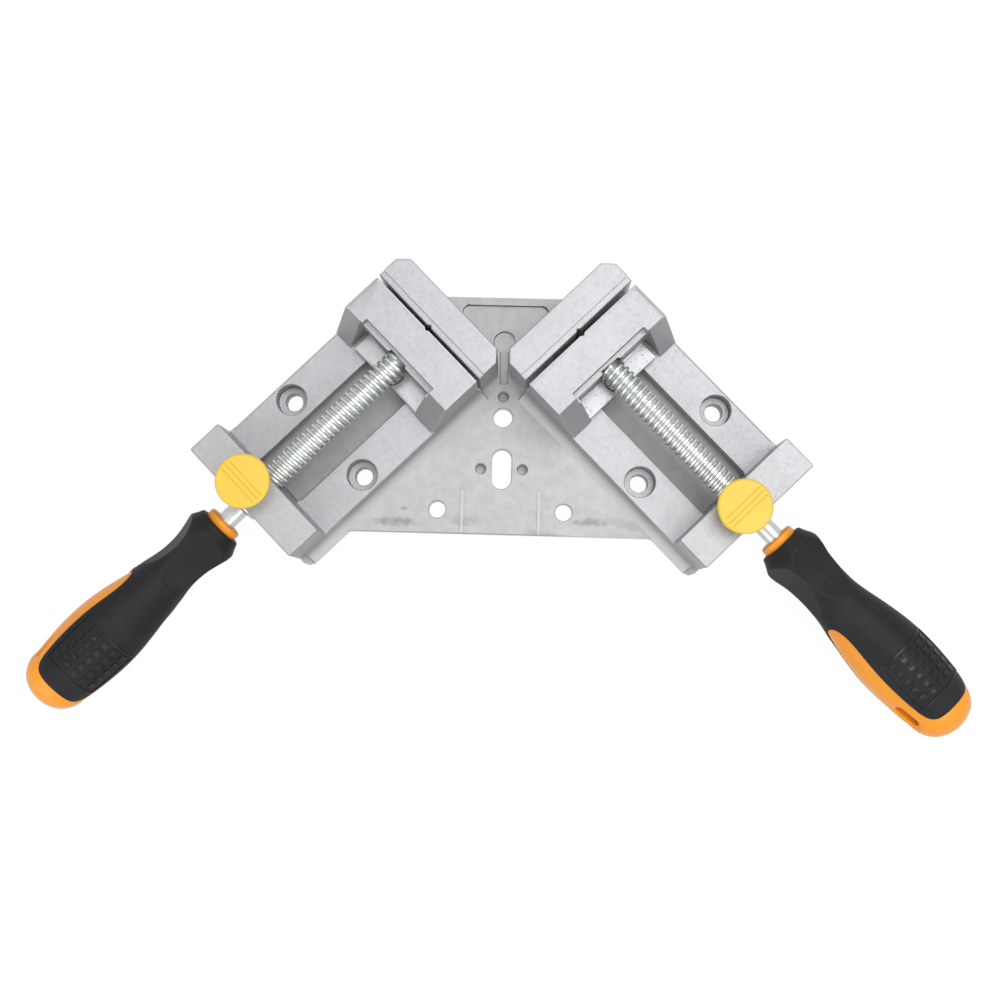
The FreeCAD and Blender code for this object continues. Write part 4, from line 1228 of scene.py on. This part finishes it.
@dataclass
class Handle:
    """The two-colour screwdriver handle, turned about X from its front, in millimetres."""

    finishes: Finishes
    collar: float = 7.1
    collar_long: float = 3.0
    bore: float = 3.75
    bore_deep: float = 33.0
    skin_thick: float = 1.75
    cap: float = 87.2
    window_sunk: float = 0.65
    window_low: float = 0.78
    lip: float = 0.9
    lip_drop: float = 0.35
    scoops: int = 4
    scoop_radius: float = 29.0
    scoop_floor: float = 7.5
    scoop_at: float = 20.7
    hole_at: float = 80.0
    hole_long: float = 10.6
    hole_wide: float = 4.5
    round_steps: int = 208
    long_steps: int = 226
    body_start: float = 36.0
    grip_end: float = 91.5
    ridge_start: float = 3.4
    ridge_end: float = 45.0
    ridge_high: float = 0.13
    dish_deep: float = 0.9
    dish_wide: float = 2.4
    fit: float = 0.1
    controls: Tuple[Spot, ...] = (
        (3.05, 9.05), (6.1, 10.05), (8.7, 12.95), (17.3, 11.0), (30.7, 9.05), (43.4, 12.55),
        (59.2, 15.35), (76.0, 14.65), (95.5, 12.15), (96.4, 1.3), (96.4, 0.0))
    window: Tuple[Spot, ...] = (
        (38.0, 0.0), (38.0, 2.4), (40.2, 4.4), (46.0, 6.5), (56.0, 7.2), (72.0, 7.2),
        (79.7, 7.2), (85.3, 7.5), (87.3, 10.0), (87.3, 12.0), (87.3, 16.0))
    neck: Tuple[Spot, ...] = (
        (30.0, 6.5), (23.0, 6.3), (16.0, 6.1), (10.0, 5.95), (3.4, 5.8))
    hollow_at: Tuple[float, ...] = (91.5, 86, 80, 72, 64, 56, 48, 40, 36)
    marks_start: float = 60.6
    marks_pitch: float = 3.75
    mark_size: float = 2.5
    mark_high: float = 0.34
    mark_root: float = 0.4
    mark_turn: float = 17.6
    marks_across: int = 5
    frame_high: float = 0.28
    frame_wide: float = 0.55
    frame_spread: float = 100.0

    def build(self) -> None:
        """Build one core and one grip, and lay copies on each arm."""
        self.side_line = curve_through(self.controls, self.long_steps)
        self.window_line = curve_through(self.window, 44)
        core, grip = self.core(), self.grip()
        dressed(smooth(core, 40.0), self.finishes.orange)
        smooth(grip, 32.0)
        for side in Side:
            bed = side.bed(side.jaw_face + COLLAR_START, SCREW_AXIS, side.roll)
            one = twin(core, side.own("handle_hard_core"), bed)
            settled(one, side.own("screw"), side.own("handle_core"))
            other = twin(grip, side.own("handle_soft_grip"), bed)
            settled(other, side.own("screw"), side.own("handle_grip"))
        bpy.data.objects.remove(core)
        bpy.data.objects.remove(grip)

    def skin(self, x: float) -> float:
        """Return the turned form's radius at a place along the handle."""
        first = self.side_line[0]
        return first[1] if x <= first[0] else height_at(self.side_line, x, 0.0)

    def into_window(self, x: float, across: float) -> float:
        """Measure how far a place lies inside the window's outline.

        Args:
            x: the place along the handle.
            across: the place across the window.

        Returns:
            The distance to the outline, negative outside it.
        """
        if x > self.cap:
            return x - self.cap + 1.0
        if across < 0:
            across *= self.window_low
        best = math.inf
        spot = Vector((x, abs(across)))
        for first, second in zip(self.window_line, self.window_line[1:]):
            a, b = Vector(first), Vector(second)
            share = (spot - a).dot(b - a) / (b - a).length_squared
            nearest = a.lerp(b, min(max(share, 0.0), 1.0))
            best = min(best, (spot - nearest).length)
        inside = x > self.window_line[0][0] and abs(across) < self.half_window(x)
        return best if inside else -best

    def half_window(self, x: float) -> float:
        """Return the window's half width at a place along the handle."""
        past = self.window_line[-1][1] if x > self.cap else 0.0
        return height_at(self.window_line, x, past)

    def scooped(self, x: float, turn: float, radius: float) -> float:
        """Take the scoops out of the neck.

        Args:
            x: the place along the handle.
            turn: the place round it, in radians.
            radius: the radius without scoops.

        Returns:
            The radius that the scoops leave.
        """
        share = (x - self.scoop_at) / self.scoop_radius
        if abs(share) >= 1:
            return radius
        floor = self.scoop_floor + self.scoop_radius * (1 - math.sqrt(1 - share * share))
        step = FULL_TURN / self.scoops
        away = (turn + step / 2) % step - step / 2
        flat = floor / math.cos(away)
        soft, far = 0.12, 6.0
        gap = (radius - flat) / soft
        if gap > far:
            return flat
        return radius - soft * math.log1p(math.exp(gap)) + soft * math.log1p(math.exp(-far))

    def shaped(self, piece: Piece, rule: Callable[[float, float, float], float]) -> Piece:
        """Press a turned form by hand: each vertex moves to the radius a rule gives.

        Args:
            piece: the turned form.
            rule: the new radius for a place along, a turn from the mould line towards
                the window side and the old radius, in millimetres and radians.

        Returns:
            The same piece.
        """
        for vertex in piece.data.vertices:
            x, y, z = (value / MM for value in vertex.co)
            radius = math.hypot(y, z)
            if radius > self.bore + 0.1:
                scale = rule(x, math.atan2(-y, z), radius) / radius
                vertex.co = (x * MM, y * scale * MM, z * scale * MM)
        piece.data.update()
        return piece

    def grip_rule(self, x: float, turn: float, radius: float) -> float:
        """Shape the soft grip: scoops, lips at the windows and the mould line.

        Args:
            x: the place along the handle.
            turn: the place round it, in radians.
            radius: the turned form's radius there.

        Returns:
            The shaped radius.
        """
        if radius < self.skin(x) - self.skin_thick / 2:
            return radius
        left = self.scooped(x, turn, radius)
        if x > self.body_start:
            depth = self.into_window(x, radius * math.cos(turn)) + self.lip
            left -= self.lip_drop * ease(depth / self.lip) ** 2
        if self.ridge_start < x < self.ridge_end:
            near = abs(turn) * radius
            fade = ease((self.ridge_end - x) / 6)
            left += self.ridge_high * ease(1.3 - near / 0.35) * fade
        return left

    def core_rule(self, x: float, turn: float, radius: float) -> float:
        """Shape the hard core: pads that rise in the windows and the hole's dish.

        Args:
            x: the place along the handle.
            turn: the place round it, in radians.
            radius: the turned form's radius there.

        Returns:
            The shaped radius.
        """
        if x < self.body_start or radius < self.skin(x) - self.skin_thick - 0.3:
            return radius
        depth = self.into_window(x, self.skin(x) * math.cos(turn))
        full = self.skin(x)
        sunk = self.window_sunk * ease((self.cap + 1.5 - x) / 6.0) + 0.06
        low = full - self.skin_thick - self.fit
        radius = low + (full - sunk - low) * ease((depth + 1.2) / 0.9)
        across = full * math.cos(turn)
        half = (self.hole_long - self.hole_wide) / 2
        reach = math.hypot(max(abs(x - self.hole_at) - half, 0.0), across)
        if abs(math.sin(turn)) > 0.5:
            rim = self.hole_wide / 2 + self.dish_wide
            radius -= self.dish_deep * ease((rim - reach) / self.dish_wide)
        return radius

    def grip(self) -> Piece:
        """Build the soft grip with its raised marks.

        Returns:
            The grip.
        """
        outer = [(x, r) for x, r in self.side_line if x < self.grip_end]
        front = outer[0]
        lead = [(front[0], front[1] - 0.5), (front[0] + 0.05, front[1] - 0.15)]
        outer = lead + [(x, r) for x, r in outer if x > front[0] + 0.3]
        inner = [(x, self.skin(x) - self.skin_thick) for x in self.hollow_at]
        inner += list(self.neck[:-1]) + [(front[0], self.neck[-1][1])]
        grip = lathe("grip_master", outer + inner + outer[:1], self.round_steps)
        self.shaped(grip, self.grip_rule)
        far = 120.0
        line = self.window_line
        upper = line + [(far, line[-1][1] + 4)]
        outline = upper + [(x, -z / self.window_low) for x, z in reversed(upper) if z > 0]
        combine(grip, slab("window_cutter", outline, 60.0, "Y"), Cut.AWAY)
        marks = [dressed(mark, self.finishes.marks) for mark in self.emboss()]
        return joined([dressed(grip, self.finishes.rubber)] + marks, "grip_master")

    def core(self) -> Piece:
        """Build the hard core with its collar, pads, end cap and hanging hole.

        Returns:
            The core.
        """
        ring = self.collar
        collar = [(self.bore_deep, 0), (self.bore_deep, self.bore), (0, self.bore),
                  (0, ring - 0.7), (0.2, ring - 0.25), (0.7, ring), (2.5, ring),
                  (self.collar_long, ring - 0.25)]
        cap_start = self.cap + 1.5
        body = [(x, radius - self.fit) for x, radius in reversed(self.neck)]
        body += [(x, max(self.skin(x) - self.skin_thick - self.fit, 0.0))
                 for x, _ in self.side_line if self.body_start < x < cap_start]
        end = [(x, r - 0.06) for x, r in self.side_line if x >= cap_start and r > 0.2]
        outline = collar + body + end + [(self.side_line[-1][0], 0)]
        core = lathe("core_master", outline, self.round_steps)
        self.shaped(core, self.core_rule)
        half, round_off = (self.hole_long - self.hole_wide) / 2, self.hole_wide / 2
        slot = []
        for i in range(32):
            turn = FULL_TURN * i / 32 - math.pi / 2
            shift = half if math.cos(turn) > 1e-6 or i == 0 else -half
            slot.append((self.hole_at + shift + round_off * math.cos(turn),
                         round_off * math.sin(turn)))
        return combine(core, slab("hanging_hole", slot, 60.0, "Y"), Cut.AWAY)

    def strap(self, name: str, outline: Outline, middle: float, spread: float,
              steps: int) -> Piece:
        """Spin a closed outline of (along, radius) through part of a turn.

        Args:
            name: the new object's name.
            outline: its corners, in millimetres.
            middle: its middle's turn from the mould line, in degrees.
            spread: the whole angle it takes, in degrees.
            steps: how many faces go round.

        Returns:
            The closed piece.
        """
        piece = traced(name, [(x * MM, 0, r * MM) for x, r in outline])
        bpy.ops.mesh.edge_face_add()
        bpy.ops.mesh.spin(steps=steps, angle=math.radians(spread), center=(0, 0, 0),
                          axis=(1, 0, 0))
        closed_up()
        turn = math.radians(middle + spread / 2)
        piece.data.transform(Matrix.Rotation(turn, 4, "X"))
        return piece

    def emboss(self) -> List[Piece]:
        """Build the raised frame and its rows of small squares.

        Returns:
            The pieces.
        """
        first, high, wide = self.marks_start - 1.6, self.frame_high, self.frame_wide
        last = self.marks_start + self.marks_pitch * (self.marks_across - 1) + 4.0
        made = []
        for x in (first, last):
            made.append(self.strap("emboss_end", self.raised(x, x + wide, high), 0,
                                   self.frame_spread, 40))
        stations = [first + (last + wide - first) * i / 14 for i in range(15)]
        strip = [(x, self.skin(x) + high) for x in stations]
        strip += [(x, self.skin(x) - self.mark_root) for x in reversed(stations)]
        for middle in (-self.frame_spread / 2, self.frame_spread / 2):
            made.append(self.strap("emboss_side", strip, middle, 2.1, 2))
        for column in range(self.marks_across):
            x = self.marks_start + self.marks_pitch * column
            ring = self.raised(x, x + self.mark_size, self.mark_high)
            size = math.degrees(self.mark_size / self.skin(x + 1))
            mark = softened(self.hollowed(self.strap("emboss_mark", ring, 0, size, 4)), 0.12, 40.0)
            for row in range(self.marks_across):
                turn = math.radians((row - self.marks_across // 2) * self.mark_turn)
                made.append(twin(mark, "emboss_mark", Matrix.Rotation(turn, 4, "X")))
            bpy.data.objects.remove(mark)
        return made

    def raised(self, start: float, end: float, high: float) -> List[Spot]:
        """Draw the outline of a form that stands out of the grip.

        Args:
            start: where it starts along the handle.
            end: where it ends.
            high: how far it stands out.

        Returns:
            The four corners as (along, radius).
        """
        low, far = self.skin(start), self.skin(end)
        return [(start, low - self.mark_root), (end, far - self.mark_root),
                (end, far + high), (start, low + high)]

    def hollowed(self, mark: Piece) -> Piece:
        """Press a shallow square into the top of a mark.

        Args:
            mark: the mark.

        Returns:
            The same mark.
        """
        edit(mark, "FACE")
        bpy.ops.object.mode_set(mode="OBJECT")
        for polygon in mark.data.polygons:
            spot = polygon.center
            out = Vector((0, spot.y, spot.z)).normalized()
            polygon.select = polygon.normal.dot(out) > 0.9
        bpy.ops.object.mode_set(mode="EDIT")
        bpy.ops.mesh.inset(thickness=0.6 * MM, depth=-0.22 * MM)
        bpy.ops.object.mode_set(mode="OBJECT")
        return mark


@dataclass
class SmallParts:
    """The pieces whose packed form is right and that only need their finish."""

    finishes: Finishes
    press: float = 3.5 * MM

    def build(self) -> None:
        """Dress every small node of both arms."""
        finish_of = {
            "jaw_keeper": self.finishes.steel, "keeper_screw": self.finishes.zinc,
            "nose_pin": self.finishes.steel, "guide_bush": self.finishes.zinc,
            "half_nut": self.finishes.brass, "nut_cover": self.finishes.zinc,
            "cover_screws": self.finishes.zinc,
        }
        for side in Side:
            for word, finish in finish_of.items():
                dressed(frame["nodes"][side.own(word)], finish)
            self.spring(side)
        log.info("small parts: %d dressed", 2 * len(finish_of))

    def spring(self, side: Side) -> None:
        """Lay one arm's nut spring on the frame, with a mesh of its own.

        Args:
            side: the arm.
        """
        node = side.own("nut_spring")
        spring = dressed(copied_from_frame(node, side.own("spring")), self.finishes.steel)
        settled(spring, "frame", node)
        side.own("button_press")
        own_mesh(spring)


# Studio

@dataclass
class Studio:
    """Pale floor, soft lamps, plain world and the camera over the clamp."""

    white: float = 0.90
    glow: float = 1.07
    pale: Colour = (0.60, 0.60, 0.605)
    floor_size: float = 8.0
    softbox: float = 0.8
    fill: float = 0.38
    lens: float = 47.93
    camera_spot: Point = (9.94 * MM, -78.92 * MM, 524.01 * MM)
    camera_right: Point = (0.99938, 0.02847, -0.02080)
    camera_up: Point = (-0.02643, 0.99535, 0.09265)
    camera_back: Point = (0.02334, -0.09205, 0.99548)

    def build(self) -> None:
        """Build everything round the clamp."""
        self.floor()
        self.lamp("key_softbox", (0.25, 0.25, 1.15), 7.6)
        self.lamp("front_softbox", (0.45, -0.75, 0.85), 3.0)
        self.lamp("side_softbox", (-0.60, -0.65, 0.50), 2.6)
        self.world()
        self.camera()
        bpy.context.scene.view_settings.view_transform = "Standard"

    def seen(self, paint: Paint) -> Wire:
        """Find the rays that show the background itself.

        Args:
            paint: the material or world in the making.

        Returns:
            A wire of 1 for those rays and 0 for the others.
        """
        rays = paint.node("ShaderNodeLightPath", {}, {})
        outs = rays.socket.node.outputs
        kinds = [Wire(paint, outs[name]) for name in
                 ("Is Camera Ray", "Is Glossy Ray", "Is Transmission Ray")]
        return kinds[0] + kinds[1] + kinds[2]

    def floor(self) -> None:
        """Lay the pale floor that keeps the clamp's shadow."""
        rest()
        bpy.ops.mesh.primitive_plane_add(size=self.floor_size, location=(0, 0, -0.2 * MM))
        floor = named("studio_floor")
        paint = Paint("pale_floor")
        pale = paint.node("ShaderNodeBsdfDiffuse", {}, {"Color": (*self.pale, 1.0)})
        lit = paint.node("ShaderNodeEmission", {}, {"Strength": self.glow})
        share = self.seen(paint) * self.white
        mixed = paint.node("ShaderNodeMixShader", {}, {0: share, 1: pale, 2: lit})
        floor.data.materials.append(paint.closed(mixed))

    def lamp(self, name: str, spot: Point, power: float) -> None:
        """Hang one square softbox that looks at the clamp.

        Args:
            name: the lamp's name.
            spot: where it hangs, in metres.
            power: its power in watts.
        """
        rest()
        bpy.ops.object.light_add(type="AREA", location=spot)
        lamp = bpy.context.object
        lamp.name = name
        lamp.data.shape = "SQUARE"
        lamp.data.size = self.softbox
        lamp.data.energy = power
        lamp.rotation_euler = (-Vector(spot)).to_track_quat("-Z", "Y").to_euler()

    def world(self) -> None:
        """Fill the scene evenly, behind a white background."""
        paint = Paint("studio_world", True)
        strength = self.fill + self.seen(paint) * (1.0 - self.fill)
        sky = paint.node("ShaderNodeBackground", {},
                         {"Color": (1.0, 1.0, 1.0, 1.0), "Strength": strength})
        bpy.context.scene.world = paint.closed(sky)

    def camera(self) -> None:
        """Set the camera where the photograph was taken from."""
        rest()
        bpy.ops.object.camera_add()
        camera = bpy.context.object
        camera.name = "photo_camera"
        camera.data.lens = self.lens
        camera.data.sensor_width = 36.0
        camera.data.clip_start = 0.01
        columns = (self.camera_right, self.camera_up, self.camera_back)
        turn = Matrix(columns).transposed().to_4x4()
        camera.matrix_world = Matrix.Translation(self.camera_spot) @ turn
        bpy.context.scene.camera = camera


def main() -> None:
    """Build every piece of the clamp and the studio round it."""
    logging.basicConfig(level=logging.INFO, format="%(name)s %(message)s")
    finishes = Finishes()
    Castings(finishes).build()
    LeadScrew(finishes).build()
    ReleaseButton(finishes).build()
    Handle(finishes).build()
    SmallParts(finishes).build()
    Studio().build()
    rest()


if __name__ == "__main__":
    main()
